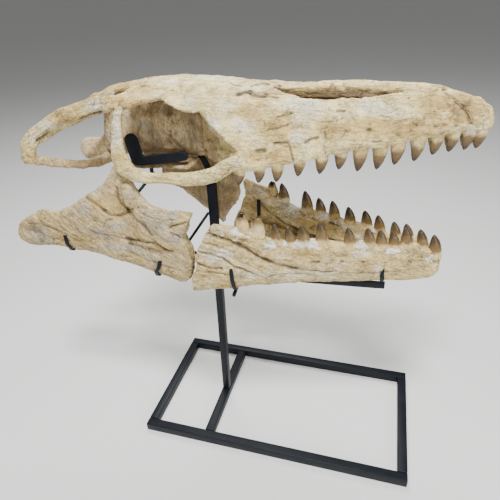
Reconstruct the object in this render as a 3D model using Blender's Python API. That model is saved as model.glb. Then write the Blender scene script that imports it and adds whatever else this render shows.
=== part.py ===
"""
Mosasaur skull on its black steel stand: a life-size museum mount, jaws agape.

The frame: the origin is on the floor under the post, +X runs toward the snout,
+Y toward the skull's left side and +Z up.  Dimensions are in millimetres.
Stations run along X, and a bone's half width is measured out from the midline.
"""

import math
from itertools import pairwise

import bmesh
import bpy
from mathutils import Matrix, Vector

MM = 0.001
RIGHT, LEFT = -1, 1

# Driving sizes of the stand
BASE_LENGTH, BASE_WIDTH, TUBE = 590, 312, 20
BASE_BACK_X = -150.6
POST_SIDE, POST_TOP = 16, 574
ROD_RADIUS = 3.2
STRAP_WIDE, STRAP_THICK = 7.2, 3  # the flat bar that the claws are bent from
CRADLE_THICK = 6

# Driving sizes of the bones
CUT = 0.6  # gap that a saw cut leaves between two bones
CLEAR = 0.5  # clearance around a bone that another is fitted to
OUTSIDE = 300  # how far a cutter reaches past the bones
ARCH_START = -146.6  # where the outer temporal arches begin
LEFT_DROP = 9  # burial pressed the left temporal arch down by this much
LEFT_SQUASH = 0.77  # and pushed its rear corner forward, to this share of its length
TOOTH_SIDES = 6
TOOTH_SINK = 7  # how deep a root sits in the jaw
TOOTH_BOW = 0.1  # how far a crown bows forward, as a share of its length at the root

BONE = (0.80, 0.72, 0.56, 1)
SHADED_BONE = (0.62, 0.50, 0.34, 1)
STEEL = (0.012, 0.016, 0.024, 1)


# Rails of the cranium, front to back: (station, half width, height)
ROOF = [
    (472, 0, 722), (464, 0, 738), (446, 0, 752), (415, 0, 760), (385, 0, 768), (335, 0, 771),
    (250, 0, 772), (175, 0, 767), (120, 0, 769), (60, 0, 772), (5, 0, 774), (-40, 0, 778),
    (-84, 0, 772),
]
RIM = [
    (472, 4, 720), (464, 8, 734), (446, 11, 746), (415, 15, 754), (385, 17, 759), (335, 22, 755),
    (250, 29, 748), (175, 31, 747), (120, 34, 758), (60, 38, 766), (5, 42, 768), (-84, 34, 766),
]
SHOULDER = [
    (472, 7, 716), (464, 12, 725), (446, 16, 733), (415, 22, 741), (385, 27, 744), (335, 34, 741),
    (250, 43, 735), (175, 53, 738), (120, 60, 745), (60, 68, 748), (5, 75, 746), (-22, 76, 745),
    (-60, 68, 757), (-84, 76, 753), (-118, 84, 749),
]
BROW = [
    (12, 80, 731), (-9, 81, 729), (-22, 81, 733), (-42, 77, 742), (-60, 74, 749), (-75, 79, 746),
    (-93, 84, 741), (-118, 88, 738),
]
CHEEK = [
    (472, 8, 711), (464, 14, 714), (446, 18, 717), (415, 25, 719), (385, 32, 717), (335, 42, 713),
    (250, 56, 704), (175, 70, 697), (120, 82, 694), (60, 96, 689), (5, 106, 680),
]
GUM = [
    (472, 6, 707), (464, 12, 707), (446, 17, 707), (415, 24, 699), (385, 31, 695), (335, 43, 685),
    (250, 63, 673), (175, 81, 657), (120, 94, 645), (60, 104, 640), (5, 110, 636),
]

# Side outlines: (station, height)
ORBIT_FRONT = [
    (92, 674), (71, 695), (47, 718), (26, 738), (14, 733), (3, 729), (-12, 729), (-12, 560), (84, 560),
    (84, 640),
]
ORBIT_DEEP = [
    (16, 668), (13, 690), (10, 712), (8, 729), (6, 729), (2, 728), (-12, 728), (-12, 560), (18, 560),
    (18, 640),
]
PREMAXILLA_SUTURE = [
    (378, 800), (379, 763), (390, 756), (397, 751), (413, 748), (421, 739), (429, 735),
    (438, 722), (433, 709), (431, 650),
]
PREFRONTAL_EDGE = [
    (176, 800), (172, 752), (158, 741), (141, 737), (120, 722), (98, 716), (82, 702), (56, 694),
    (-60, 640), (-43, 800),
]
# Plan outlines of the right half: (station, half width)
FRONTAL_EDGE = [
    (138, 0), (134, 18), (122, 30), (108, 36), (93, 40), (79, 52), (54, 50), (29, 56), (2, 51),
    (-24, 55), (-47, 47), (-70, 49), (-95, 36), (-95, 0),
]
MAXILLA_INNER = [(455, 9), (415, 11), (335, 17), (250, 20), (175, 24), (120, 34), (96, 44), (40, 46)]

# Teeth: (station of the tip, height of the crown)
UPPER_TEETH = [
    (85, 27), (118, 26), (147, 31), (182, 29), (217, 33), (247, 32), (277, 40), (307, 41),
    (334, 38), (364, 38), (391, 33), (415, 32),
]
FRONT_TEETH = [(438, 35), (455, 33)]
LOWER_TEETH = {
    RIGHT: [(84, 37), (110, 43), (143, 31), (166, 28), (190, 31), (221, 36), (270, 31), (304, 29),
            (326, 30), (348, 28), (369, 32), (397, 25), (420, 36)],
    LEFT: [(97, 26), (123, 36), (174, 40), (203, 30), (231, 32), (263, 32), (295, 28), (320, 30),
           (350, 26), (372, 24), (397, 22), (422, 32)],
}
BROKEN_LOWER = {RIGHT: 2, LEFT: 1}  # the rearmost crowns are snapped off
SNAPPED = 0.66  # the share of a snapped crown that stands


# ---------------------------------------------------------------- helpers


def start_scene():
    for old in list(bpy.data.objects):
        bpy.data.objects.remove(old, do_unlink=True)
    skull = bpy.data.collections.new("mosasaur_skull")
    cutters = bpy.data.collections.new("cutters")
    bpy.context.scene.collection.children.link(skull)
    bpy.context.scene.collection.children.link(cutters)
    return skull, cutters


def principled(name, color, roughness, metallic=0.0):
    material = bpy.data.materials.new(name)
    material.use_nodes = True
    shader = material.node_tree.nodes["Principled BSDF"]
    shader.inputs["Base Color"].default_value = color
    shader.inputs["Roughness"].default_value = roughness
    shader.inputs["Metallic"].default_value = metallic
    return material


def solid(name, mesh):
    """A scratch solid; it becomes a node only when keep() takes it."""
    made = bpy.data.objects.new(name, mesh)
    CUTTERS.objects.link(made)
    made.hide_render = True
    made.display_type = "WIRE"
    return made


def keep(made, name, material):
    """Turn a scratch solid into the node of this name."""
    CUTTERS.objects.unlink(made)
    PARTS.objects.link(made)
    made.name = name
    made.data.name = name
    made.hide_render = False
    made.display_type = "TEXTURED"
    made.data.materials.clear()
    made.data.materials.append(material)
    made.data.shade_smooth()
    made.data.set_sharp_from_angle(angle=math.radians(40))
    return made


def copy_of(made):
    return solid(made.name + "_copy", made.data.copy())


def applied(made):
    """Bake a solid's modifiers into its mesh."""
    graph = bpy.context.evaluated_depsgraph_get()
    graph.update()
    baked = bpy.data.meshes.new_from_object(made.evaluated_get(graph))
    made.modifiers.clear()
    made.data = baked
    return made


def combine(made, other, operation):
    """Add, cut or intersect.  EXACT loses a bone whose saw cuts nearly coincide, or one
    cut by a swollen neighbour that folds into itself, so cuts take MANIFOLD."""
    boolean = made.modifiers.new("shape", "BOOLEAN")
    boolean.operation = operation
    boolean.solver = "EXACT" if operation == "UNION" else "MANIFOLD"
    boolean.object = other
    return applied(made)


def join(made, *others):
    for other in others:
        combine(made, other, "UNION")
        bpy.data.objects.remove(other)
    return made


def grown(made, by=CLEAR):
    """A copy whose surface stands off by this much, to cut a fitted neighbour with."""
    cutter = copy_of(made)
    swell = cutter.modifiers.new("clearance", "DISPLACE")
    swell.strength = by * MM
    swell.mid_level = 0
    return applied(cutter)


def fit_to(made, *neighbours):
    """Cut a bone back to a small clearance around its finished neighbours."""
    for neighbour in neighbours:
        cutter = grown(neighbour)
        combine(made, cutter, "DIFFERENCE")
        bpy.data.objects.remove(cutter)
    return largest(made)


def claim(whole, territory):
    """Saw the share of a bone inside a territory off the rest; the cut leaves a gap."""
    share = copy_of(whole)
    combine(share, territory, "INTERSECT")
    cutter = grown(territory, CUT)
    combine(whole, cutter, "DIFFERENCE")
    bpy.data.objects.remove(cutter)
    bpy.data.objects.remove(territory)
    return largest(share)


def largest(made):
    """Drop the crumbs that a cut leaves beside the main piece."""
    form = bmesh.new()
    form.from_mesh(made.data)
    bmesh.ops.remove_doubles(form, verts=form.verts, dist=0.02 * MM)
    bmesh.ops.dissolve_degenerate(form, edges=form.edges, dist=0.02 * MM)
    islands = []
    waiting = set(form.faces)
    while waiting:
        island = {waiting.pop()}
        edge_of = list(island)
        while edge_of:
            face = edge_of.pop()
            near = {f for e in face.edges for f in e.link_faces} & waiting
            waiting -= near
            island |= near
            edge_of.extend(near)
        islands.append(island)
    islands.sort(key=lambda faces: sum(f.calc_area() for f in faces))
    crumbs = [face for island in islands[:-1] for face in island]
    bmesh.ops.delete(form, geom=crumbs, context="FACES")
    form.to_mesh(made.data)
    form.free()
    return made


def loft(name, rings):
    """A closed solid through matching rings of points, first to last."""
    form = bmesh.new()
    loops = [[form.verts.new(Vector(point) * MM) for point in ring] for ring in rings]
    for here, there in pairwise(loops):
        for i in range(len(here)):
            j = (i + 1) % len(here)
            form.faces.new((here[i], here[j], there[j], there[i]))
    form.faces.new(list(reversed(loops[0])))
    form.faces.new(loops[-1])
    bmesh.ops.recalc_face_normals(form, faces=form.faces)
    form.normal_update()
    bmesh.ops.triangulate(form, faces=form.faces)
    mesh = bpy.data.meshes.new(name)
    form.to_mesh(mesh)
    form.free()
    return solid(name, mesh)


def side_prism(name, outline, near, far):
    """A side outline (station, height) drawn across the skull from one half width to another."""
    return loft(name, [[(x, y, z) for x, z in outline] for y in (near, far)])


def plan_prism(name, outline, bottom, top):
    """A plan outline (station, half width) drawn up from one height to another."""
    return loft(name, [[(x, y, z) for x, y in outline] for z in (bottom, top)])


def box(name, low, high):
    corners = [(low[0], low[1]), (high[0], low[1]), (high[0], high[1]), (low[0], high[1])]
    return plan_prism(name, corners, low[2], high[2])


def rail(table, station):
    """Half width and height of a rail at a station; the ends carry on flat."""
    if station >= table[0][0]:
        return table[0][1:]
    for ahead, behind in pairwise(table):
        if station >= behind[0]:
            share = (station - behind[0]) / (ahead[0] - behind[0])
            return tuple(b + share * (a - b) for a, b in zip(ahead[1:], behind[1:]))
    return table[-1][1:]


def oval(center, across, up, half_width, half_height, points=10):
    """A ring in the plane of two directions, a little squarer than an ellipse."""
    ring = []
    for i in range(points):
        turn = 2 * math.pi * (i + 0.5) / points
        c, s = math.cos(turn), math.sin(turn)
        a = math.copysign(abs(c) ** 0.8, c) * half_width
        b = math.copysign(abs(s) ** 0.8, s) * half_height
        ring.append(center + across * a + up * b)
    return ring


def crushed(x, side):
    """Where a station of the temporal arch lies now; only the left arch gave way."""
    if side == RIGHT or x > ARCH_START:
        return x
    return ARCH_START + (x - ARCH_START) * LEFT_SQUASH


def strut(name, stations, side=RIGHT, lift=0, points=8, level=(0, 1, 0)):
    """A bar of bone along a path: (station, half width, height, half thickness, half depth)."""
    places = [Vector((x, side * y, z + lift)) for x, y, z, _, _ in stations]
    rings = []
    for i, (_, _, _, thick, deep) in enumerate(stations):
        ahead = places[min(i + 1, len(places) - 1)] - places[max(i - 1, 0)]
        ahead.normalize()
        across = Vector(level)
        across = (across - ahead * across.dot(ahead)).normalized()
        rings.append(oval(places[i], across, ahead.cross(across), thick, deep, points))
    return loft(name, rings)


# (height as a share of the blade, thickness as a share of the full thickness)
BLADE_SHAPE = [(0, 0.3), (0.1, 0.78), (0.35, 1), (0.65, 0.92), (0.9, 0.72), (1, 0.32)]


def blade(name, stations, side=RIGHT, shape=BLADE_SHAPE):
    """A plate of bone on edge, as a jaw is: each station gives the lower edge
    (x, half width, height), the upper edge (x, half width, height) and the thickness."""
    rings = []
    for x0, y0, z0, x1, y1, z1, thick in stations:
        outer, inner = [], []
        for share, part in shape:
            x = x0 + (x1 - x0) * share
            y = y0 + (y1 - y0) * share
            z = z0 + (z1 - z0) * share
            outer.append((x, side * (y + part * thick / 2), z))
            inner.append((x, side * (y - part * thick / 2), z))
        rings.append(outer + inner[::-1])
    return loft(name, rings)


def tooth(base, tip, long, wide, cut=1.0):
    """A curved fang from its root to its tip; with cut under 1 the crown is snapped off there."""
    base, tip = Vector(base), Vector(tip)
    down = (tip - base).normalized()
    sink = base - down * TOOTH_SINK
    rings = []
    for share, size in ((0, 0.95), (0.35, 1), (0.72, 0.6), (1, 0.1)):
        reach = min(share, cut)
        place = sink.lerp(tip, reach)
        place.x += long * TOOTH_BOW * math.sin(math.pi * reach)
        size = max(size, 0.7) if cut < 1 else size
        ring = []
        for i in range(TOOTH_SIDES):
            turn = 2 * math.pi * i / TOOTH_SIDES
            swing = (math.cos(turn) * long / 2 * size, math.sin(turn) * wide / 2 * size, 0)
            ring.append(place + Vector(swing))
        rings.append(ring)
        if share >= cut:
            break
    return loft("tooth", rings)


def rod(name, points, radius):
    """A bent round rod through these points."""
    curve = bpy.data.curves.new(name, "CURVE")
    curve.dimensions = "3D"
    curve.bevel_depth = radius * MM
    curve.bevel_resolution = 2
    curve.use_fill_caps = True
    line = curve.splines.new("POLY")
    line.points.add(len(points) - 1)
    for knot, place in zip(line.points, points):
        knot.co = (*(Vector(place) * MM), 1)
    made = solid(name, curve)
    graph = bpy.context.evaluated_depsgraph_get()
    graph.update()
    mesh = bpy.data.meshes.new_from_object(made.evaluated_get(graph))
    bpy.data.objects.remove(made)
    form = bmesh.new()
    form.from_mesh(mesh)
    bmesh.ops.remove_doubles(form, verts=form.verts, dist=0.01 * MM)
    bmesh.ops.recalc_face_normals(form, faces=form.faces)
    form.to_mesh(mesh)
    form.free()
    return solid(name, mesh)


def cube(name, center, size):
    bpy.ops.mesh.primitive_cube_add(size=1)
    made = bpy.context.object
    for holder in list(made.users_collection):
        holder.objects.unlink(made)
    made.data.transform(Matrix.Diagonal((*(Vector(size) * MM), 1)))
    made.data.transform(Matrix.Translation(Vector(center) * MM))
    CUTTERS.objects.link(made)
    made.name = name
    made.hide_render = True
    made.display_type = "WIRE"
    return made


# ---------------------------------------------------------------- cranium


def rostrum_ring(x):
    """One section of the snout and cheeks, right half mirrored to the left."""
    gum_y, gum_z = rail(GUM, x)
    cheek_y, cheek_z = rail(CHEEK, x)
    socket = min(16, gum_y * 0.75)
    vault = min(14 + 14 * min(1, gum_y / 60), 0.4 * (rail(ROOF, x)[1] - gum_z))
    half = [
        (0, rail(ROOF, x)[1]),
        rail(RIM, x),
        rail(SHOULDER, x),
        (cheek_y, cheek_z),
        (gum_y + 1.5, gum_z + min(9, 0.5 * (cheek_z - gum_z))),
        (gum_y - 1, gum_z),
        (gum_y - socket, gum_z + 0.5),
        (gum_y - socket * 1.25, gum_z + vault * 0.6),
        (0, gum_z + vault),
    ]
    return mirrored_ring(x, half)


def mirrored_ring(x, half):
    right = [(x, -y, z) for y, z in half]
    left = [(x, y, z) for y, z in half[-2:0:-1]]
    return right + left


def roof_ring(x):
    """One section of the skull roof over the orbits: a plate with a turned-down brow."""
    top = rail(ROOF, x)[1]
    brow_y, brow_z = rail(BROW, x)
    half = [
        (0, top),
        rail(RIM, x),
        rail(SHOULDER, x),
        (brow_y, brow_z + 5),
        (brow_y - 3, brow_z),
        (brow_y - 14, brow_z + 4),
        (34, top - 34),
        (0, top - 38),
    ]
    return mirrored_ring(x, half)


def whole_cranium():
    snout = loft("snout", [rostrum_ring(x) for x in (
        472, 464, 446, 430, 415, 400, 385, 360, 335, 305, 278, 250, 225, 200, 175, 148, 120, 90,
        60, 32, 6)])
    roof = loft("roof", [roof_ring(x) for x in (14, 2, -9, -22, -42, -60, -75, -84, -97, -110)])
    join(snout, roof, orbit_wall(RIGHT), orbit_wall(LEFT))
    for side in (RIGHT, LEFT):
        orbit = loft("orbit", [
            [(x, side * 150, z) for x, z in ORBIT_FRONT],
            [(x, side * 98, z) for x, z in ORBIT_FRONT],
            [(x, side * 42, z) for x, z in ORBIT_DEEP],
        ])
        combine(snout, orbit, "DIFFERENCE")
    combine(snout, naris_trough(), "DIFFERENCE")
    return snout


def orbit_wall(side):
    """The flange in front of the orbit, from the cheek back to the braincase."""
    plan = [(8, 35), (19, 43), (76, 86), (88, 82), (31, 29)]
    return plan_prism("orbit_wall", [(x, side * y) for x, y in plan], 639, 700)


def naris_trough():
    """The two nostrils as one hollow; the premaxilla's bar bridges it afterwards."""
    rings = []
    for x, wide, deep in ((338, 9, 16), (322, 17, 38), (285, 23, 41), (230, 27, 43), (180, 27, 44),
                          (150, 24, 36), (128, 17, 16)):
        top = rail(RIM, x)[1] + 40
        floor = rail(RIM, x)[1] - deep
        rings.append([(x, -wide, top), (x, -wide, floor + 12), (x, -wide * 0.6, floor),
                      (x, wide * 0.6, floor), (x, wide, floor + 12), (x, wide, top)])
    return loft("naris_trough", rings)


def nasal_bar():
    """The premaxilla's bar between the nostrils, sunk into the bone at both ends."""
    rings = []
    for x, half, deep in ((402, 7, 9), (372, 11, 20), (340, 11, 26), (290, 10, 28), (230, 10, 28),
                          (175, 12, 24), (140, 13, 20), (118, 9, 14)):
        top = rail(ROOF, x)[1]
        rings.append([(x, -half, top - 5), (x, 0, top + 1), (x, half, top - 5),
                      (x, half * 0.8, top - deep), (x, -half * 0.8, top - deep)])
    return loft("nasal_bar", rings)


def upper_tooth_row(stations, side):
    teeth = []
    for x, height in stations:
        gum_y, gum_z = rail(GUM, x + 5)
        wide = 16 + height * 0.23
        y = max(gum_y - 8, 7)
        base = (x, side * y, gum_z + 1)
        tip = (x - 1, side * (y - 1), gum_z - height)
        teeth.append(tooth(base, tip, wide, wide * 0.7))
    return teeth


def plan_territory(edge, side, bottom, top):
    """A territory on one side of a plan line, out to past the bones."""
    line = [(x, side * y) for x, y in edge]
    line += [(edge[-1][0], side * OUTSIDE), (edge[0][0], side * OUTSIDE)]
    return plan_prism("territory", line, bottom, top)


def cranium_bones():
    whole = whole_cranium()
    bones = {}

    ahead = PREMAXILLA_SUTURE + [(600, 650), (600, 800)]
    premaxilla = claim(whole, side_prism("ahead", ahead, -OUTSIDE, OUTSIDE))
    share = [nasal_bar()]
    for side in (RIGHT, LEFT):
        share += upper_tooth_row(FRONT_TEETH, side)
    fit_to(whole, *share)
    bones["premaxilla"] = largest(join(premaxilla, *share))

    edge = [(x, -y) for x, y in FRONTAL_EDGE] + [(x, y) for x, y in FRONTAL_EDGE[-2:0:-1]]
    territory = plan_prism("frontal_edge", edge, 747, 850)
    join(territory, box("over_orbits", (-94, -42, 700), (5, 42, 760)))
    bones["frontal"] = claim(whole, territory)

    for side, label in ((RIGHT, "right"), (LEFT, "left")):
        behind = box("behind", (-200, min(side * 43, side * OUTSIDE), 690),
                     (-43, max(side * 43, side * OUTSIDE), 850))
        bones["orbital_" + label] = claim(whole, behind)
        bones["prefrontal_" + label] = claim(
            whole, side_prism("prefrontal_edge", PREFRONTAL_EDGE, side * 40, side * OUTSIDE))
        maxilla = claim(whole, plan_territory(MAXILLA_INNER, side, 550, 850))
        teeth = upper_tooth_row(UPPER_TEETH, side)
        fit_to(whole, *teeth)
        bones["maxilla_" + label] = largest(join(maxilla, *teeth))
    bones["vomer_palatine"] = whole
    return bones


def parietal():
    """The narrow roof between the temporal windows; it forks behind."""
    rings = []
    for x, half, top, deep in ((-95.8, 34, 771, 22), (-112, 27, 768, 24), (-140, 21, 763, 26),
                               (-168, 21, 758, 26), (-190, 27, 750, 26), (-204, 30, 742, 24)):
        rings.append([(x, 0, top), (x, -half * 0.6, top - 2), (x, -half, top - 8),
                      (x, -half * 0.8, top - deep), (x, half * 0.8, top - deep),
                      (x, half, top - 8), (x, half * 0.6, top - 2)])
    return loft("parietal", rings)


def jugal(side):
    """The cheek bar under the orbit, and the upright that rises behind it."""
    return strut("jugal", [
        (93, 96, 661, 7, 11), (68, 101, 651, 8, 13), (46, 105, 637, 8, 15), (21, 108, 630, 8, 13.5),
        (-6, 110, 626, 8, 12), (-34, 111, 626, 8, 10.5), (-72, 112, 625, 8, 10.5),
        (-98, 112, 628, 8, 13), (-115, 112, 640, 8, 18), (-122, 112, 662, 8, 15),
        (-121, 111, 688, 7, 12), (-119, 108, 712, 7, 9), (-116, 104, 731, 7, 8), (-113, 99, 744, 7, 9),
    ], side)


def postorbital(side, lift):
    """The brow's rear corner, from the parietal out to the temporal arch."""
    brow = strut("postorbital", [
        (-48, 66, 752, 9, 6), (-75, 74, 749, 11, 7), (-98, 83, 747, 12, 9), (-120, 91, 746, 11, 13),
        (-146, 96, 743, 9, 15),
    ], side, lift)
    inner = strut("inner_arm", [
        (-118, 24, 753, 11, 8), (-121, 50, 749, 10, 8), (-124, 72, 746, 10, 9), (-124, 91, 744, 9, 9),
    ], side, lift * 0.6, level=(1, 0, 0))
    return join(brow, inner)


def squamosal(side, lift):
    """The outer temporal arch, curving down to the skull's rear corner."""
    return strut("squamosal", [(crushed(x, side), *rest) for x, *rest in (
        (ARCH_START, 96, 744, 8, 15), (-170, 98, 739, 8, 14.5), (-196, 101, 731, 8.5, 14),
        (-226, 105, 721, 8.5, 13), (-257, 109, 707, 8.5, 13), (-283, 113, 690, 9, 14),
        (-299, 117, 670, 9, 15.5), (-304, 118, 651, 9, 15.5), (-302, 117, 638, 8, 12.5))
    ], side, lift)


def supratemporal(side, lift):
    """The thin plate on edge behind the temporal window, from the parietal to the rear corner."""
    return blade("supratemporal", [
        (crushed(x0, side), y0, z0 + lift, crushed(x1, side), y1, z1 + lift, 8)
        for x0, y0, z0, x1, y1, z1 in (
            (-172, 20, 718, -160, 14, 755), (-186, 34, 713, -181, 34, 753),
            (-201, 46, 708, -195, 50, 748), (-219, 58, 702, -208, 68, 736),
            (-241, 75, 692, -227, 80, 722), (-265, 91, 681, -256, 91, 704),
            (-286, 101, 669, -282, 100, 688))
    ], side)


def paroccipital(side):
    """The slender brace from the braincase out to the rear corner."""
    return strut("paroccipital", [(crushed(x, side), *rest) for x, *rest in (
        (-297, 115, 642, 6, 10), (-280, 103, 638, 6, 9.5), (-266, 90, 631, 6, 8.5),
        (-250, 76, 625, 5.5, 8.5), (-236, 63, 621, 5.5, 8), (-222, 50, 620, 6.5, 8.5),
        (-207, 36, 622, 9, 9.5), (-196, 24, 628, 12, 12))
    ], side, level=(1, 0, 0))


def braincase():
    """The wall between the orbits, the braincase and the knob of the neck joint."""
    sections = [
        (4.6, 42, 634, 752), (-3, 41, 634, 752), (-24, 37, 635, 752), (-43, 34, 635, 752),
        (-84, 32, 633, 752), (-125, 32, 631, 748), (-160, 29, 627, 742), (-184, 26, 621, 738),
        (-197, 23, 618, 722), (-203, 20, 616, 698), (-210, 15, 615, 668), (-226, 14, 613, 655),
        (-243, 18, 611, 655), (-258, 20, 611, 653), (-268, 15, 615, 648), (-273, 7, 622, 641),
    ]
    rings = []
    for x, half, low, high in sections:
        mid = (low + high) / 2
        reach = (high - low) / 2
        rings.append(oval(Vector((x, 0, mid)), Vector((0, 1, 0)), Vector((0, 0, 1)), half, reach, 12))
    return loft("braincase", rings)


def pterygoid_plate(side):
    """The palate's plate under the braincase; the right one has lost its front end."""
    front = [(62, 22, 78, 642, 7), (30, 14, 64, 634, 8), (-8, 11, 58, 629, 9)]
    rings = []
    for x, near, far, z, thick in (front if side == LEFT else []) + [
            (-16, 11, 56, 628.5, 9), (-70, 10, 44, 624, 10), (-120, 14, 40, 619, 10),
            (-165, 20, 36, 613, 7)]:
        rings.append([(x, side * near, z + thick / 2), (x, side * near, z - thick / 2),
                      (x, side * (near + far) / 2, z - thick / 2 - 2), (x, side * far, z - thick / 2 - 3),
                      (x, side * far, z + thick / 2 - 4), (x, side * (near + far) / 2, z + thick / 2)])
    return loft("pterygoid", rings)


def pterygoid_wing():
    """The left side keeps the wing that hangs into the mouth."""
    return blade("wing", [
        (-120, 32, 564, -120, 36, 617, 6), (-114, 30, 557, -112, 36, 621, 8),
        (-72, 27, 545, -78, 36, 626, 9), (-26, 24, 509, -34, 36, 628, 9),
        (1, 22, 490, -6, 36, 630, 9), (11, 21, 482, 4, 38, 632, 9), (22, 21, 501, 14, 38, 633, 9),
        (34, 22, 519, 22, 39, 634, 9), (47, 23, 536, 30, 40, 636, 8), (52, 24, 550, 38, 42, 638, 7),
    ], LEFT)


# ---------------------------------------------------------------- lower jaw


def jaw_line(x):
    """Half width of the lower tooth row at a station."""
    return 23 + 0.27 * (350 - x)


# Outline of the dentary: lower edge (x, z), upper edge (x, z), thickness
DENTARY = [
    (438, 441, 437, 456, 8), (431, 431, 430, 471, 15), (414, 423, 412, 488, 20),
    (391, 420, 390, 497, 23), (366, 419, 366, 495, 25), (343, 420, 343, 491, 27),
    (318, 419, 318, 497, 29), (293, 419, 293, 503, 30), (268, 419, 268, 498, 31),
    (243, 419, 243, 503, 31), (216, 419, 214, 507, 32), (190, 419, 188, 506, 32),
    (160, 418, 158, 506, 32), (132, 416, 130, 515, 32), (108, 414, 108, 529, 32),
    (79, 409, 83, 538, 32), (50, 407, 56, 543, 31), (24, 406, 30, 546, 31),
    (4, 405, 12, 547, 30), (-14, 405, -10, 547, 28),
]


def snap(made, outline, side):
    """Break a jaw off along a ragged side outline."""
    piece = side_prism("snap", outline, side * 40, side * 180)
    combine(made, piece, "DIFFERENCE")
    bpy.data.objects.remove(piece)


def dentary(side):
    stations = []
    for x0, z0, x1, z1, thick in DENTARY:
        low = max(jaw_line(x0), thick / 2 + 0.4)
        high = max(jaw_line(x1), thick / 2 + 0.4)
        stations.append((x0, low, z0, x1, high, z1, thick))
    body = blade("dentary", stations, side)
    snap(body, RIGHT_DENTARY_BREAK if side == RIGHT else LEFT_DENTARY_BREAK, side)
    groove = strut("canal", [
        (-30, jaw_line(-30) - 17, 462, 7, 26), (60, jaw_line(60) - 17, 458, 7, 22),
        (150, jaw_line(150) - 17, 450, 6, 14), (230, jaw_line(230) - 16.5, 443, 5, 8),
        (290, jaw_line(290) - 16, 438, 3, 4),
    ], side)
    combine(body, groove, "DIFFERENCE")
    teeth = []
    for i, (x, height) in enumerate(LOWER_TEETH[side]):
        base_x = x + 4
        y = max(jaw_line(base_x), 8)
        gum = upper_edge(base_x)
        wide = min(21, 12 + height * 0.22)
        broken = SNAPPED if i < BROKEN_LOWER[side] else 1.0
        base = (base_x, side * y, gum - 2)
        tip = (x - 1, side * (y - 1), gum + height)
        teeth.append(tooth(base, tip, wide, wide * 0.72, broken))
    return largest(join(body, *teeth))


def upper_edge(x):
    """Height of the dentary's upper edge at a station."""
    for ahead, behind in pairwise(DENTARY):
        if x >= behind[2]:
            share = (x - behind[2]) / (ahead[2] - behind[2])
            return behind[3] + share * (ahead[3] - behind[3])
    return DENTARY[-1][3]


def splenial(side):
    """The thin plate that closes the front of the jaw's inner canal."""
    stations = []
    for x, low, high, thick in ((30, 412, 448, 4), (70, 414, 462, 6), (130, 417, 456, 6),
                                (190, 419, 446, 5), (240, 421, 438, 4)):
        y = jaw_line(x) - 15 - thick / 2
        stations.append((x, y, low, x + 4, y, high, thick))
    return blade("splenial", stations, side)


# The jaw behind the dentary: lower edge (x, z), upper edge (x, half width, z), thickness
REAR_JAW = [
    (-388, 476, -386, 111, 490, 10), (-381, 464, -377, 111, 506, 18), (-361, 457, -357, 112, 518, 24),
    (-335, 459, -333, 112, 534, 26), (-311, 462, -312, 112, 543, 27), (-296, 463, -297, 112, 540, 27),
    (-274, 462, -274, 112, 540, 28), (-250, 460, -250, 112, 553, 28), (-226, 458, -226, 112, 569, 28),
    (-204, 454, -204, 110, 583, 28), (-184, 450, -184, 106, 594, 27), (-165, 446, -163, 101, 611, 26),
    (-148, 443, -149, 95, 634, 24), (-134, 440, -137, 91, 646, 20), (-120, 436, -125, 92, 641, 20),
    (-108, 432, -112, 99, 606, 24), (-98, 430, -99, 106, 588, 27), (-77, 426, -81, 111, 571, 28),
    (-55, 421, -57, 112, 566, 28), (-35, 417, -34, 112, 567, 26), (-20, 418, -15, 112, 568, 26),
    (8, 424, 8, 112, 567, 24),
]
# Broken ends, seen from the side: (station, height)
REAR_JAW_BREAK = [
    (60, 650), (-2, 650), (-1, 573), (5, 569), (5, 560), (-3, 550), (-8, 535), (-17, 519), (-14, 507),
    (-8, 493), (-5, 472), (-6, 447), (-11, 430), (-23, 423), (-24, 400), (60, 400),
]
RIGHT_DENTARY_BREAK = [
    (-80, 600), (38, 600), (38, 549), (28, 530), (16, 505), (7, 486), (5.5, 478), (8.5, 467),
    (3, 448), (-3, 438), (-6, 411), (-7, 380), (-80, 380),
]
LEFT_DENTARY_BREAK = [
    (-80, 600), (30, 600), (36, 541), (41, 520), (31, 493), (17, 464), (7, 436), (-2, 405),
    (-4, 380), (-80, 380),
]
CORONOID_EDGE = [
    (-230, 640), (-206, 583), (-190, 571), (-177, 562), (-160, 547), (-136, 549), (-117, 560),
    (-106, 571), (-98, 590), (-92, 640),
]
ANGULAR_EDGE = [
    (-300, 400), (-297, 470), (-262, 483), (-225, 490), (-205, 503), (-174, 511), (-146, 503),
    (-120, 500), (-95, 503), (-69, 500), (-40, 508), (30, 512), (30, 350), (-300, 350),
]
ARTICULAR_EDGE = [
    (-450, 650), (-262, 650), (-256, 548), (-270, 520), (-262, 500), (-276, 480), (-298, 471),
    (-300, 400), (-450, 400),
]


def rear_jaw(side=RIGHT):
    """Only the right half of the jaw keeps the bones behind the dentary."""
    whole = blade("rear_jaw", [
        (x0, 111, z0, x1, y1, z1, thick) for x0, z0, x1, y1, z1, thick in REAR_JAW], side)
    snap(whole, REAR_JAW_BREAK, side)
    far, near = side * 60, side * 160
    bones = {}
    coronoid = claim(whole, side_prism("coronoid_edge", CORONOID_EDGE, far, near))
    knob = strut("knob", [
        (-116, 106, 562, 6, 5), (-116, 106, 570, 13, 12), (-117, 105, 586, 16, 16),
        (-119, 103, 600, 14, 13), (-120, 102, 608, 7, 7),
    ], side)
    join(coronoid, knob)
    bones["coronoid_right"] = largest(coronoid)
    bones["articular_right"] = claim(
        whole, side_prism("articular_edge", ARTICULAR_EDGE, far, near))
    bones["angular_right"] = claim(whole, side_prism("angular_edge", ANGULAR_EDGE, far, near))
    fit_to(whole, coronoid)
    bones["surangular_right"] = whole
    return bones


# ---------------------------------------------------------------- stand


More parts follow.
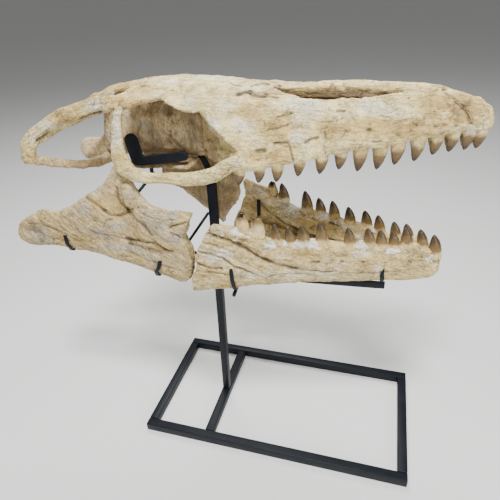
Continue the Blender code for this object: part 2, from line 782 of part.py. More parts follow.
def base_tubes():
    """Five square tubes lying on the floor; the sides butt against the ends."""
    mid_x = BASE_BACK_X + BASE_LENGTH / 2
    inner = BASE_WIDTH - 2 * TUBE - 2 * CUT
    half = TUBE / 2
    return {
        "stand_base_near": cube("near", (mid_x, -(BASE_WIDTH - TUBE) / 2, half),
                                (BASE_LENGTH, TUBE, TUBE)),
        "stand_base_far": cube("far", (mid_x, (BASE_WIDTH - TUBE) / 2, half),
                               (BASE_LENGTH, TUBE, TUBE)),
        "stand_base_rear": cube("rear", (BASE_BACK_X + half, 0, half), (TUBE, inner, TUBE)),
        "stand_base_front": cube("front", (BASE_BACK_X + BASE_LENGTH - half, 0, half),
                                 (TUBE, inner, TUBE)),
        "stand_base_cross": cube("cross", (0, 0, half), (TUBE, inner, TUBE)),
    }


def post():
    """A square tube on the cross bar; a flat tongue at its top bends to the palate."""
    foot = TUBE + CUT
    tube = cube("post", (0, 0, (foot + POST_TOP) / 2), (POST_SIDE, POST_SIDE, POST_TOP - foot))
    tongue = loft("tongue", [
        [(x - w, y - 3, z), (x + w, y - 3, z), (x + w, y + 3, z), (x - w, y + 3, z)]
        for x, y, z, w in ((0, 0, POST_TOP - 6, 6), (-1, -1, 598, 6), (-6, -3, 613, 6),
                           (-10, -4, 624, 6), (-15, -5, 632, 6.5))
    ])
    return join(tube, tongue)


def skull_cradle():
    """An L of flat bar with round ends that holds the right wall of the braincase."""
    y = -50
    thick = CRADLE_THICK / 2

    def flat(name, start, end, half):
        ahead = (Vector(end) - Vector(start)).normalized()
        angle = math.atan2(ahead.y, ahead.x)
        outline = []
        for center, turn in ((end, angle), (start, angle + math.pi)):
            for i in range(7):
                a = turn - math.pi / 2 + math.pi * i / 6
                outline.append((center[0] + half * math.cos(a), center[1] + half * math.sin(a)))
        return side_prism(name, outline, y - thick, y + thick)

    upright = flat("upright", (-124, 635), (-130.5, 669), 13)
    arm = flat("arm", (-118, 630.5), (-30, 645.5), 8.3)
    return join(upright, arm)


def stand_parts():
    parts = base_tubes()
    parts["stand_post"] = post()
    parts["stand_skull_cradle"] = skull_cradle()
    fit = parts["stand_post"]
    parts["stand_skull_arm"] = fit_to(rod("skull_arm", [
        (0, -POST_SIDE / 2 - 4, 586), (-50, -26, 594), (-92, -45, 602), (-98, -50, 610), (-98, -50, 618),
    ], 4), fit, parts["stand_skull_cradle"])
    parts["stand_coronoid_rod"] = fit_to(rod("coronoid_rod", [
        (-102, -58, 600), (-107, -76, 591), (-112, -86, 584),
    ], ROD_RADIUS), parts["stand_skull_arm"])
    parts["stand_rear_jaw_rod"] = fit_to(rod("rear_jaw_rod", [
        (-7, -POST_SIDE / 2 - 3, 517), (-28, -86, 482), (-40, -88, 474), (-73, -89, 466),
        (-170, -89, 476), (-262, -89, 486),
    ], ROD_RADIUS), fit)
    parts["stand_jaw_brace"] = fit_to(rod("jaw_brace", [
        (-22, -92, 476), (-8, -88, 468), (6, -85, 461),
    ], ROD_RADIUS), parts["stand_rear_jaw_rod"])
    for side, label in ((RIGHT, "right"), (LEFT, "left")):
        parts["stand_front_arm_" + label] = fit_to(strut("front_arm", [
            (POST_SIDE / 2 + 1, 5, 394, 2.5, 9), (80, 30, 398, 2.5, 9), (200, 34, 403, 2.5, 9),
            (300, 30, 406, 2.5, 9), (346, 27, 407, 2.5, 9),
        ], side), fit)
        parts["stand_rear_arm_" + label] = fit_to(rod("rear_arm", [
            (4, side * (POST_SIDE / 2 + 4), 386), (30, side * 50, 392), (68, side * 78, 396),
            (71, side * 112, 398),
        ], 4), fit, parts["stand_front_arm_" + label])
    return parts


def claw(x, face, bottom, top, lean=0.0, side=RIGHT, inner=False):
    """A bent strap that cups a jaw: up one face of it, from a short hook under its lower edge."""
    away = -1 if inner else 1
    out = face + away * (STRAP_THICK / 2 + CLEAR)
    low = bottom - STRAP_THICK / 2 - CLEAR
    path = [Vector(place) for place in (
        (x + lean, side * (out - 2 * away), top), (x + lean / 2, side * out, (top + bottom) / 2),
        (x, side * (out - 1.5 * away), bottom + 12), (x, side * (out - 6 * away), low + 3),
        (x, side * (out - 10 * away), low), (x, side * (out - 20 * away), low))]
    rings = []
    for i, place in enumerate(path):
        along = path[min(i + 1, len(path) - 1)] - path[max(i - 1, 0)]
        level = Vector((STRAP_WIDE / 2, 0, 0))
        through = along.cross(level).normalized() * STRAP_THICK / 2
        rings.append([place - level - through, place + level - through,
                      place + level + through, place - level + through])
    return loft("claw", rings)


def claws():
    """Four claws hold the right jaw and two the left one, from its inner face at the rear."""
    plan = [
        ("right_1", -261, 126, 462, 497, -3, RIGHT, False),
        ("right_2", -78, 126, 428, 465, 12, RIGHT, False),
        ("right_3", 73, 114, 411, 460, -4, RIGHT, False),
        ("right_4", 339, 38, 419, 454, -2, RIGHT, False),
        ("left_3", 74, 76, 411, 514, 0, LEFT, True),
        ("left_4", 339, 38, 419, 454, -2, LEFT, False),
    ]
    made = {}
    for label, x, face, bottom, top, lean, side, inner in plan:
        made["stand_claw_" + label] = claw(x, face, bottom, top, lean, side, inner)
    return made


# ---------------------------------------------------------------- assembly


def build():
    bones = cranium_bones()
    top = parietal()
    fit_to(top, bones["frontal"])
    sides = {}
    for side, label, lift in ((RIGHT, "right", 0), (LEFT, "left", -LEFT_DROP)):
        corner = join(bones.pop("orbital_" + label), postorbital(side, lift))
        fit_to(corner, bones["frontal"], bones["prefrontal_" + label], top)
        sides["postorbitofrontal_" + label] = corner
        sides["jugal_" + label] = fit_to(jugal(side), corner, bones["maxilla_" + label])
        arch = fit_to(squamosal(side, lift), corner)
        sides["squamosal_" + label] = arch
        sides["supratemporal_" + label] = fit_to(supratemporal(side, lift), arch, top)
    bones.update(sides)
    bones["parietal"] = top

    core = braincase()
    fit_to(core, bones["frontal"], top, bones["vomer_palatine"],
           *(bones[name + label] for label in ("right", "left") for name in (
               "prefrontal_", "postorbitofrontal_", "supratemporal_")))
    for side, label in ((RIGHT, "right"), (LEFT, "left")):
        brace = fit_to(paroccipital(side), bones["squamosal_" + label],
                       bones["supratemporal_" + label], core)
        bones["paroccipital_" + label] = brace
    bones["braincase"] = core

    for side, label in ((RIGHT, "right"), (LEFT, "left")):
        plate = pterygoid_plate(side)
        if side == LEFT:
            join(plate, pterygoid_wing())
        fit_to(plate, core, bones["vomer_palatine"], bones["maxilla_" + label],
               bones["jugal_" + label], bones["paroccipital_" + label])
        bones["pterygoid_" + label] = plate
        bones["dentary_" + label] = dentary(side)
        bones["splenial_" + label] = fit_to(splenial(side), bones["dentary_" + label])
    bones.update(rear_jaw())

    stand = stand_parts()
    for name, made in claws().items():
        near = [bones[b] for b in ("dentary_right", "dentary_left", "splenial_left",
                                   "angular_right", "articular_right", "surangular_right")]
        arms = [stand[arm] for arm in ("stand_front_arm_right", "stand_front_arm_left",
                                       "stand_rear_arm_right", "stand_rear_arm_left",
                                       "stand_rear_jaw_rod")]
        stand[name] = fit_to(made, *near, *arms)

    bone = principled("fossil_bone", BONE, 0.82)
    shaded = principled("shaded_bone", SHADED_BONE, 0.85)
    steel = principled("black_steel", STEEL, 0.45, 0.3)
    inner = ("braincase", "vomer_palatine", "pterygoid_right", "pterygoid_left")
    for name, made in bones.items():
        keep(made, name, shaded if name in inner else bone)
    for name, made in stand.items():
        keep(made, name, steel)


PARTS, CUTTERS = start_scene()
build()
for helper in list(CUTTERS.objects):
    bpy.data.objects.remove(helper)
for made in PARTS.objects:
    print(f"{made.name}: {len(made.data.polygons)} faces")
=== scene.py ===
# %% [markdown]
# # A mosasaur skull on its steel stand
#
# The solids made in CAD are right in size and place, but smooth and faceted.  Fossil bone
# is grained like old wood, cracked along its sutures, chipped at its edges and mottled by
# the rock it lay in.  This lesson gives every bone that surface as real geometry, builds the
# teeth one by one, rounds the steel of the stand and lights it all.  The first step loads
# the solids as a fixed frame.

# %% Load the frame
import math

import bmesh
import bpy
import numpy as np
from mathutils import Matrix, Vector
from mathutils.bvhtree import BVHTree


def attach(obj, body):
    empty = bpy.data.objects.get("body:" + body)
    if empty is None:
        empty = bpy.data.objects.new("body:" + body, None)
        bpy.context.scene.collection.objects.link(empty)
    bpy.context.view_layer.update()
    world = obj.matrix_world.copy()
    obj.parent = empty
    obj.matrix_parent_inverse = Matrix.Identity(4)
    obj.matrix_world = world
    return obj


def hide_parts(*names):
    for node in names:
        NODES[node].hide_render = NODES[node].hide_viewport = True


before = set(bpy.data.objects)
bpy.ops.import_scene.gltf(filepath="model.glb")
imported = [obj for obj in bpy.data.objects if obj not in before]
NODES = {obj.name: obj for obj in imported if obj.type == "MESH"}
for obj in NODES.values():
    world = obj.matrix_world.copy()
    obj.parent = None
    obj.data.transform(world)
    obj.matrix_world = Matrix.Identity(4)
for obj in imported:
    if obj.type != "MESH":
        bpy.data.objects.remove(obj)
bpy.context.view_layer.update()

MM = 0.001

# %% [markdown]
# ## The camera
# The specimen is seen from its right, a little ahead of the post and from above, by a
# normal lens.  The camera's three directions are written out as the columns of its matrix.

# %% Camera
def linked(name, data):
    made = bpy.data.objects.new(name, data)
    bpy.context.scene.collection.objects.link(made)
    return made


CAMERA_PLACE = (0.304359, -0.784414, 0.914668)
CAMERA_RIGHT = (0.96360319, 0.26570239, -0.0295149)
CAMERA_UP = (-0.11016216, 0.49524148, 0.86174252)
SENSOR_MM, LENS_MM = 36.0, 33.06

lens = bpy.data.cameras.new("camera")
lens.sensor_width = SENSOR_MM
lens.lens = LENS_MM
lens.clip_start = 0.01
camera = linked("camera", lens)
right, up = Vector(CAMERA_RIGHT), Vector(CAMERA_UP)
turn = Matrix((right, up, right.cross(up))).transposed()
camera.matrix_world = Matrix.Translation(CAMERA_PLACE) @ turn.to_4x4()
bpy.context.scene.camera = camera
print("camera", [round(v, 3) for v in camera.matrix_world.translation])

# %% [markdown]
# ## A sculptor's copy of a bone
# A CAD solid has large flat faces, so it can't hold fine relief.  A voxel remesh rebuilds
# it as a skin of small even squares.  A light and a heavy smoothing of that skin are both
# kept: mixed by a noise later, they leave some edges crisp and round others off, which is
# how a bone looks after it has been chipped and worn.

# %% Remeshed copies
WELD = 0.01 * MM
BLEND = 0.6


def baked(made):
    """Apply a piece's modifiers."""
    graph = bpy.context.evaluated_depsgraph_get()
    graph.update()
    mesh = bpy.data.meshes.new_from_object(made.evaluated_get(graph))
    made.modifiers.clear()
    made.data = mesh
    return made


def edit_mesh(mesh, change):
    """Open a mesh for a change and close it again."""
    form = bmesh.new()
    form.from_mesh(mesh)
    change(form)
    form.to_mesh(mesh)
    form.free()


def weld(form):
    """Close the seams that the file format leaves between faces."""
    bmesh.ops.remove_doubles(form, verts=form.verts, dist=WELD)


def skin_of(name, node, voxel):
    """A closed skin of even squares over a CAD solid."""
    made = linked(name, NODES[node].data.copy())
    edit_mesh(made.data, weld)
    made.data.materials.clear()
    remesh = made.modifiers.new("skin", "REMESH")
    remesh.mode = "VOXEL"
    remesh.voxel_size = voxel * MM
    return baked(made)


def read(items, name):
    flat = np.empty(len(items) * 3)
    items.foreach_get(name, flat)
    return flat.reshape(-1, 3)


def places(made):
    return read(made.data.vertices, "co") / MM


def normals(made):
    return read(made.data.vertex_normals, "vector")


def place(made, points):
    made.data.vertices.foreach_set("co", (points * MM).ravel())
    made.data.update()


def averaged(made, values, rounds):
    """Blend each vertex's row of values with its neighbours', this many times."""
    edges = np.empty(len(made.data.edges) * 2, dtype=np.int64)
    made.data.edges.foreach_get("vertices", edges)
    a, b = edges[0::2], edges[1::2]
    size = len(values)
    count = np.bincount(a, minlength=size) + np.bincount(b, minlength=size)
    for _ in range(rounds):
        total = np.empty_like(values)
        for n in range(values.shape[1]):
            total[:, n] = np.bincount(a, values[b, n], size) + np.bincount(b, values[a, n], size)
        values = (1 - BLEND) * values + BLEND * total / count[:, None]
    return values

# %% [markdown]
# ## Noise
# All the relief comes from one smooth noise.  Each corner of a grid of cubes gets a
# repeatable number made from its three indices, and a point takes the blend of the eight
# corners round it.  Stretching the grid along a bone's fibres turns blobs into grain.

# %% Noise
def corner_value(i, j, k, seed):
    """A repeatable number from -1 to 1 for a grid corner."""
    n = (i * 73856093) ^ (j * 19349663) ^ (k * 83492791) ^ (seed * 62089911)
    n = ((n ^ (n >> 13)) * 1274126177) & 0x7FFFFFFF
    n = ((n ^ (n >> 15)) * 1103515245) & 0x7FFFFFFF
    return n / 0x3FFFFFFF - 1


def noise(cells, seed):
    """Smooth noise from -1 to 1 at points measured in cells."""
    low = np.floor(cells).astype(np.int64)
    t = cells - low
    t = t * t * (3 - 2 * t)
    total = np.zeros(len(cells))
    (x, y, z), (a, b, c) = t.T, low.T
    for i, j, k in np.ndindex(2, 2, 2):
        share = (x if i else 1 - x) * (y if j else 1 - y) * (z if k else 1 - z)
        total += share * corner_value(a + i, b + j, c + k, seed)
    return total


def along(points, grain, length, width):
    """Points in cells that are long in the grain's direction and narrow across it."""
    a = Vector(grain).normalized()
    b = a.cross(Vector((0.3, 1, 0.2))).normalized()
    c = a.cross(b)
    frame_of = np.array([a / length, b / width, c / width])
    return points @ frame_of.T


test = noise(np.arange(300).reshape(-1, 3) * 0.37, 1)
print(f"noise runs from {test.min():.2f} to {test.max():.2f}")

# %% [markdown]
# ## What lies near a surface
# Three things about a point depend on its surroundings.  Where two bones meet, the saw gap
# has to close, so the skins swell toward each other.  Where steel touches bone, nothing may
# swell.  A sheltered face, as inside the eye socket, is painted browner and darker as shade,
# for the light that can't reach it.  Search trees over the CAD solids answer all three.
# Shelter is slow to find, so it is found once for each small cell of the surface and then
# averaged, which hides the cells.

# %% Search trees
BONE_NODES = [name for name in NODES if not name.startswith("stand_")]
STEEL_NODES = [name for name in NODES if name.startswith("stand_")]
CORNERS = {name: [tuple(v.co / MM) for v in NODES[name].data.vertices] for name in NODES}
FACES = {name: [tuple(f.vertices) for f in NODES[name].data.polygons] for name in NODES}


def tree_of(names):
    """One search tree over several solids, in mm."""
    corners, faces = [], []
    for name in names:
        start = len(corners)
        corners += CORNERS[name]
        faces += [[start + i for i in face] for face in FACES[name]]
    return BVHTree.FromPolygons(corners, faces)


STEEL_TREE = tree_of(STEEL_NODES)
WHOLE_TREE = tree_of(NODES)
print(len(BONE_NODES), "bones and", len(STEEL_NODES), "pieces of steel to search")
OVERLAP = 0.45


def closeness(points, tree, reach):
    """1 on the solids of a tree, falling to 0 at this distance from them."""
    found = [tree.find_nearest(spot, reach)[3] for spot in points.tolist()]
    return np.array([0.0 if gap is None else 1 - gap / reach for gap in found])


def reached(points, out, tree, reach):
    """How each point has to move so that it meets the next bone, with a little overlap."""
    found = [tree.find_nearest(spot, reach) for spot in points.tolist()]
    near = np.array([i for i, row in enumerate(found) if row[0] is not None], dtype=np.int64)
    move = np.zeros_like(points)
    if len(near):
        way = np.array([tuple(found[i][0]) for i in near]) - points[near]
        gap = np.linalg.norm(way, axis=1)[:, None] + 1e-6
        way /= gap
        toward = (way * out[near]).sum(axis=1)[:, None] > 0.2
        move[near] = np.where(toward, way * (0.5 * gap + OVERLAP), 0)
    return move


# %% Shelter
CELL, RAYS, SIGHT, LIFT = 5, 14, 140, 3
WIDE, GRID, SHELTER_ROUNDS = 0.98, 1024, 12


def sphere_spots(count):
    """Even places on a ball, along a spiral."""
    n = np.arange(count) + 0.5
    high = 1 - 2 * n / count
    turn = n * math.pi * (3 - math.sqrt(5))
    ring = np.sqrt(1 - high * high)
    return np.stack([ring * np.cos(turn), ring * np.sin(turn), high], axis=1)


def shelter_of(points, out):
    """The share of the view from each point that is blocked, found once for each small cell."""
    main = np.argmax(np.abs(out), axis=1)
    turned = np.take_along_axis(out, main[:, None], axis=1)[:, 0] > 0
    low = np.floor(points / CELL).astype(np.int64) + GRID // 2
    key = ((low[:, 0] * GRID + low[:, 1]) * GRID + low[:, 2]) * 8 + main * 2 + turned
    _, cell = np.unique(key, return_inverse=True)
    count = np.bincount(cell)[:, None]
    middle = np.stack([np.bincount(cell, points[:, a]) for a in range(3)], axis=1) / count
    aim = np.stack([np.bincount(cell, out[:, a]) for a in range(3)], axis=1)
    aim /= np.linalg.norm(aim, axis=1)[:, None] + 1e-9
    blocked = np.zeros(len(count))
    starts = (middle + aim * LIFT).tolist()
    for ray in sphere_spots(RAYS):
        for i, (start, way) in enumerate(zip(starts, (aim + ray * WIDE).tolist())):
            if WHOLE_TREE.ray_cast(start, way, SIGHT)[3] is not None:
                blocked[i] += 1 / RAYS
    return blocked[cell]

# %% [markdown]
# ## Weathering
# The relief is laid on in layers, from large to small: lumps, sharp-edged flakes, ripples
# along the fibres, narrow grooves between them, a patchy net of cracks, and pits.  How deep
# a point lies in a groove, crack or pit is stored on the mesh as "hollow", so the material
# can darken exactly those places, with dirt and with painted shade.

# %% Weathering
SEAM_REACH, STEEL_REACH, CROWN_SHRINK = 2.6, 7.0, 2.6
LIGHT_ROUNDS, HEAVY_ROUNDS = 3, 24
# The size of each pattern in mm: one number, or its length along the grain and its width
DRIFT, LUMPS, SWELLS, RIM, RIM_TEETH, GRIT, PATCHES, PITS = 21, 15, 38, 10, 4.5, 5.2, 30, 3.6
FIBRES, RIPPLES, FLAKES, CRACKS = (42, 3.6), (52, 9), (34, 15), (33, 16)


def notch(value, width):
    """1 on the zero line of a noise, falling to 0 at this distance from it."""
    return np.clip(1 - np.abs(value) / width, 0, 1)


def weather(made, grain, seed, rough, seam, steel, crown_zone, others, ragged):
    """Press grain, cracks and pits into a skin; returns how hollow each point is."""
    light, heavy = (averaged(made, places(made), n) for n in (LIGHT_ROUNDS, HEAVY_ROUNDS))
    worn = np.clip(0.6 + 1.1 * noise(light / LUMPS, seed), 0, 1) * (1 - seam)
    place(made, light + (heavy - light) * worn[:, None])
    place(made, places(made) + reached(places(made), normals(made), others, SEAM_REACH))
    points, out = places(made), normals(made)
    drift = points + 4 * np.stack([noise(points / DRIFT, seed + n) for n in (1, 2, 3)], axis=1)
    fibres = notch(noise(along(drift, grain, *FIBRES), seed + 4), 0.22)
    ripple = noise(along(drift, grain, *RIPPLES), seed + 5)
    flakes = np.tanh(7 * noise(along(drift, grain, *FLAKES), seed + 11))
    grit = noise(points / GRIT, seed + 12)
    patch = np.clip(0.3 + 1.3 * noise(points / PATCHES, seed + 6), 0, 1)
    cracks = notch(noise(along(drift, grain, *CRACKS), seed + 7), 0.045) * patch
    pits = np.clip((noise(points / PITS, seed + 8) - 0.5) / 0.2, 0, 1) * (1 - patch)
    swells = 1.2 * noise(points / SWELLS, seed + 9) + 0.85 * noise(points / LUMPS, seed + 10)
    rise = swells + rough * (0.75 * ripple + 0.55 * flakes + 0.45 * grit
                             - fibres - 1.2 * cracks - 1.1 * pits)
    rim = np.clip(1.4 - 2.2 * np.abs(out[:, 1]), 0, 1) * ragged
    rise += rim * (noise(points / RIM, seed + 13) + 0.7 * noise(points / RIM_TEETH, seed + 14) - 0.3)
    rise *= 1 - 0.4 * seam
    rise = 0.5 + 0.2 * seam + rise * (1 - steel) - np.maximum(rise, 0) * steel
    rise = np.where(crown_zone, -CROWN_SHRINK, rise)
    place(made, points + out * rise[:, None])
    # How hollow each point is; the material darkens it with dirt and painted shade.
    return np.clip(0.45 * fibres * patch + 0.75 * cracks + 0.8 * pits, 0, 1)


def store(made, name, values):
    """Keep a number for each vertex where the material can read it."""
    layer = made.data.attributes.new(name, "FLOAT", "POINT")
    layer.data.foreach_set("value", values.astype(np.float32))

# %% [markdown]
# ## Marks in known places
# Some marks are not chance: sutures where two bones meet, the holes for the nerves of the
# snout, long splits in the jaw.  Each is a line drawn on one view of the skull and pressed
# only into the faces that look that way: a wide soft valley with a narrow dark core, deeper
# in some places than in others.  The core is darkened as dirt and painted shade, the valley
# lightly as painted shade.

# %% Lines
VIEWS = {"right": ((0, 2), (0, -1, 0)), "left": ((0, 2), (0, 1, 0)), "top": ((0, 1), (0, 0, 1)),
         "rear": ((1, 2), (-1, 0, 0))}


def by_view(table):
    """The rows of a table, each with the view that was named before it."""
    for row in table:
        if isinstance(row, str):
            view = row
        else:
            yield view, *row


def facing(out, view):
    return np.clip(out @ np.array(VIEWS[view][1]) * 3 - 0.3, 0, 1)


def line_distance(points, line, view):
    """Distance of each point from a line of places on a view, in mm."""
    flat = points[:, VIEWS[view][0]]
    line = np.reshape(line, (-1, 2)).astype(float)
    nearest = np.full(len(points), 1e9)
    for start, end in zip(line, line[1:]):
        run = end - start
        share = np.clip((flat - start) @ run / (run @ run), 0, 1)
        nearest = np.minimum(nearest, np.linalg.norm(flat - start - share[:, None] * run, axis=1))
    return nearest


def mark(made, hollow, marks, seed):
    """Press lines into a bone, view by view; a depth under 0 makes a ridge."""
    for view, width, depth, dark, *line in by_view(marks):
        points, out = places(made), normals(made)
        wander = points + 1.3 * np.stack([noise(points / 7, seed + n) for n in (20, 21, 22)], axis=1)
        gap = line_distance(wander, line, view) / width
        uneven = np.clip(0.85 + 0.5 * noise(points / 13, seed + 23), 0.3, 1.2) * facing(out, view)
        valley, core = np.exp(-(gap / 2.2) ** 2), np.exp(-(gap / 0.95) ** 2)
        place(made, points - out * ((0.5 * valley + 0.5 * core) * uneven * depth)[:, None])
        # The core darkens as dirt and painted shade, the wide valley as painted shade.
        hollow = np.maximum(hollow, dark * uneven * (0.3 * valley + core))
    return np.minimum(hollow, 1)


def patches(points, out, stains_and_shade, seed):
    """Ragged soft patches on each view."""
    total = np.zeros(len(points))
    ragged = np.clip(1 + 0.8 * noise(points / 8, seed) + 0.5 * noise(points / 3.5, seed + 1), 0.2, 3)
    for view, x, z, long, tall, strength in by_view(stains_and_shade):
        flat = points[:, VIEWS[view][0]]
        reach = ((flat[:, 0] - x) / long) ** 2 + ((flat[:, 1] - z) / tall) ** 2
        total += strength * np.exp(-1.1 * reach * ragged) * facing(out, view)
    return total

# %% [markdown]
# ## Shader groups for bone
# Every bone shares four effects, so each is a node group.  "Fossil mottle" mixes the ivory
# of bone with ochre from iron in the rock and with grey, and turns brown where the stain is
# strong, which on the snout's bar and the parietal is painted shade.  "Bone fibres" gives
# fine streaks along the grain, as a mask and as a height for a bump.  "Crackle" is the net
# of hair cracks in dried bone.  The fourth group darkens what the mesh marked as hollow,
# with dirt and painted shade, and paints sheltered faces browner as painted shade.

# %% Node helpers
def new_group(name, inputs, outputs):
    """A node group, with the names of its sockets listed by kind."""
    group = bpy.data.node_groups.new(name, "ShaderNodeTree")
    for way, kinds in (("INPUT", inputs), ("OUTPUT", outputs)):
        for kind, labels in kinds.items():
            for label in labels:
                group.interface.new_socket(label, in_out=way, socket_type="NodeSocket" + kind)
    nodes = group.nodes
    return Wiring(group), nodes.new("NodeGroupInput").outputs, nodes.new("NodeGroupOutput").inputs


class Wiring:
    """Short names for the nodes a tree needs most."""

    def __init__(self, tree):
        self.tree = tree

    def node(self, kind, links=None, **settings):
        made = self.tree.nodes.new("ShaderNode" + kind)
        for key, value in settings.items():
            setattr(made, key, value)
        self.fill(made.inputs, links or {})
        return made

    def fill(self, sockets, links):
        """Link or set each socket that is named."""
        for key, value in links.items():
            if isinstance(value, bpy.types.NodeSocket):
                self.tree.links.new(value, sockets[key])
            else:
                sockets[key].default_value = value

    def group(self, tree, links):
        return self.node("Group", links, node_tree=tree).outputs

    def stored(self, name):
        return self.node("Attribute", attribute_name=name).outputs["Fac"]

    def math(self, operation, a, b=0.0, clamp=False):
        return self.node("Math", {0: a, 1: b}, operation=operation, use_clamp=clamp).outputs[0]

    def times(self, a, b, clamp=False):
        return self.math("MULTIPLY", a, b, clamp)

    def band(self, value, low, high, start=0.0, end=1.0):
        """From start below low to end above high."""
        return self.node("MapRange", {"Value": value, "From Min": low, "From Max": high,
                                      "To Min": start, "To Max": end}).outputs[0]

    def noise(self, vector, scale, detail=4.0, rough=0.55):
        return self.node("TexNoise", {"Vector": vector, "Scale": scale, "Detail": detail,
                                      "Roughness": rough}).outputs["Fac"]

    def mix(self, factor, a, b):
        return self.node("Mix", {0: factor, 6: a, 7: b}, data_type="RGBA").outputs[2]

    def moved(self, vector, by):
        return self.node("VectorMath", {0: vector, 1: by}, operation="ADD").outputs[0]

    def scaled(self, vector, factor):
        return self.node("VectorMath", {0: vector, "Scale": factor}, operation="SCALE").outputs[0]

    def lain(self, vector, tilt, stretch):
        """A space tilted with the grain and stretched along it."""
        return self.node("Mapping", {"Vector": vector, "Rotation": tilt, "Scale": (stretch, 1, 1)},
                         vector_type="TEXTURE").outputs[0]

    def bump(self, height, strength, distance):
        """A normal that shows a height; the distance is in mm."""
        return self.node("Bump", {"Height": height, "Strength": strength,
                                  "Distance": distance * MM}).outputs[0]


def told(w):
    """Say how large a finished group is."""
    print(w.tree.name, "has", len(w.tree.nodes), "nodes")
    return w.tree


# %% Fossil mottle
STAIN_AND_SHADE_BROWN = (0.25, 0.18, 0.10, 1)
w, given, gives = new_group("Fossil mottle", {
    "Vector": ["Vector"], "Color": ["Ivory", "Ochre", "Grey"],
    "Float": ["Ochre Amount", "Grey Amount", "Stain and Shade"]}, {"Color": ["Color"]})
spot = given["Vector"]
ragged = w.times(w.math("SUBTRACT", w.noise(spot, 95.0, 5.0, 0.65), 0.5), 0.9)
stain_and_shade = w.math("ADD", given["Stain and Shade"], w.times(ragged, w.math("ABSOLUTE", given["Stain and Shade"])))
warm = w.times(w.band(w.noise(spot, 12.0, 6.0, 0.62), 0.60, 0.38), given["Ochre Amount"])
warm = w.math("ADD", warm, stain_and_shade, True)
moved = w.moved(spot, (3.1, 1.7, 0.4))
cool = w.times(w.band(w.noise(moved, 20.0, 7.0, 0.62), 0.52, 0.64), given["Grey Amount"])
cool = w.math("SUBTRACT", cool, stain_and_shade, True)
tone = w.mix(warm, given["Ivory"], given["Ochre"])
tone = w.mix(cool, tone, given["Grey"])
# Strong stain values turn brown: a real stain on some bones, painted shade on the snout's bar and the
# parietal.
tone = w.mix(w.times(w.band(stain_and_shade, 0.9, 2.0), 0.9), tone, STAIN_AND_SHADE_BROWN)
cloud = w.band(w.noise(moved, 55.0, 6.0, 0.68), 0.32, 0.66, 0.68, 1.18)
speck = w.band(w.noise(moved, 330.0, 3.0, 0.7), 0.35, 0.6, 0.74, 1.05)
w.fill(gives, {"Color": w.scaled(tone, w.times(cloud, speck))})
FOSSIL_MOTTLE = told(w)

# %% Bone fibres
w, given, gives = new_group(
    "Bone fibres", {"Vector": ["Vector", "Tilt"], "Float": ["Fineness"]}, {"Float": ["Mask", "Height"]})
lain = w.lain(given["Vector"], given["Tilt"], stretch=8)
hair = w.noise(lain, w.times(given["Fineness"], 420.0), 3.0, 0.6)
strand = w.noise(lain, w.times(given["Fineness"], 130.0), 5.0, 0.65)
dark = w.band(w.math("ABSOLUTE", w.math("SUBTRACT", strand, 0.5)), 0.06, 0.0)
w.fill(gives, {"Mask": w.times(dark, w.band(hair, 0.3, 0.62)),
               "Height": w.math("ADD", w.times(hair, 0.5), strand)})
BONE_FIBRES = told(w)

# %% Crackle
w, given, gives = new_group(
    "Crackle", {"Vector": ["Vector", "Tilt"], "Float": ["Scale", "Amount"]}, {"Float": ["Mask"]})
spot = given["Vector"]
bent = w.node("TexNoise", {"Vector": spot, "Scale": 45.0, "Detail": 4.0})
moved = w.moved(spot, w.scaled(bent.outputs["Color"], 0.022))
lain = w.lain(moved, given["Tilt"], stretch=2.4)
cells = w.node("TexVoronoi", {"Vector": lain, "Scale": given["Scale"]},
               feature="DISTANCE_TO_EDGE")
line = w.band(cells.outputs["Distance"], 0.05, 0.005)
patch = w.band(w.noise(spot, 30.0), 0.46, 0.62)
w.fill(gives, {"Mask": w.times(w.times(line, patch), given["Amount"])})
CRACKLE = told(w)

# %% Dirt and painted shade
DIRT_AND_SHADE_COLOR, PAINTED_SHADE_COLOR = (0.095, 0.064, 0.033, 1), (0.22, 0.145, 0.075, 1)
w, given, gives = new_group("Dirt and painted shade", {
    "Color": ["Color"], "Float": ["Hollow", "Streak", "Shelter", "Amount"]}, {"Color": ["Color"]})
# Painted shade: sheltered faces turn toward a shaded brown.
shade_share = w.times(w.band(given["Shelter"], 0.38, 0.85), 0.8)
tone = w.mix(shade_share, given["Color"], PAINTED_SHADE_COLOR)
# Grooves, cracks and pits darken with dirt and painted shade, fibre and crack streaks with dirt.
deep = w.math("MAXIMUM", w.math("POWER", given["Hollow"], 1.3), w.times(given["Streak"], 0.75))
w.fill(gives, {"Color": w.mix(w.times(deep, given["Amount"], True), tone, DIRT_AND_SHADE_COLOR)})
DIRT_AND_SHADE = told(w)

# %% [markdown]
# ## Bone materials
# One function makes every bone's material, because they differ only in tone and in the way
# the fibres run.  The patterns share one space, so colour runs on from bone to bone.  White
# plaster, which fills gaps at the tooth roots, is mixed in where the mesh says so.

# %% Bone materials
PLASTER_COLOR = (0.78, 0.74, 0.65, 1)


def new_material(name):
    material = bpy.data.materials.new(name)
    material.use_nodes = True
    tree = material.node_tree
    return material, tree.nodes["Principled BSDF"].inputs, Wiring(tree)


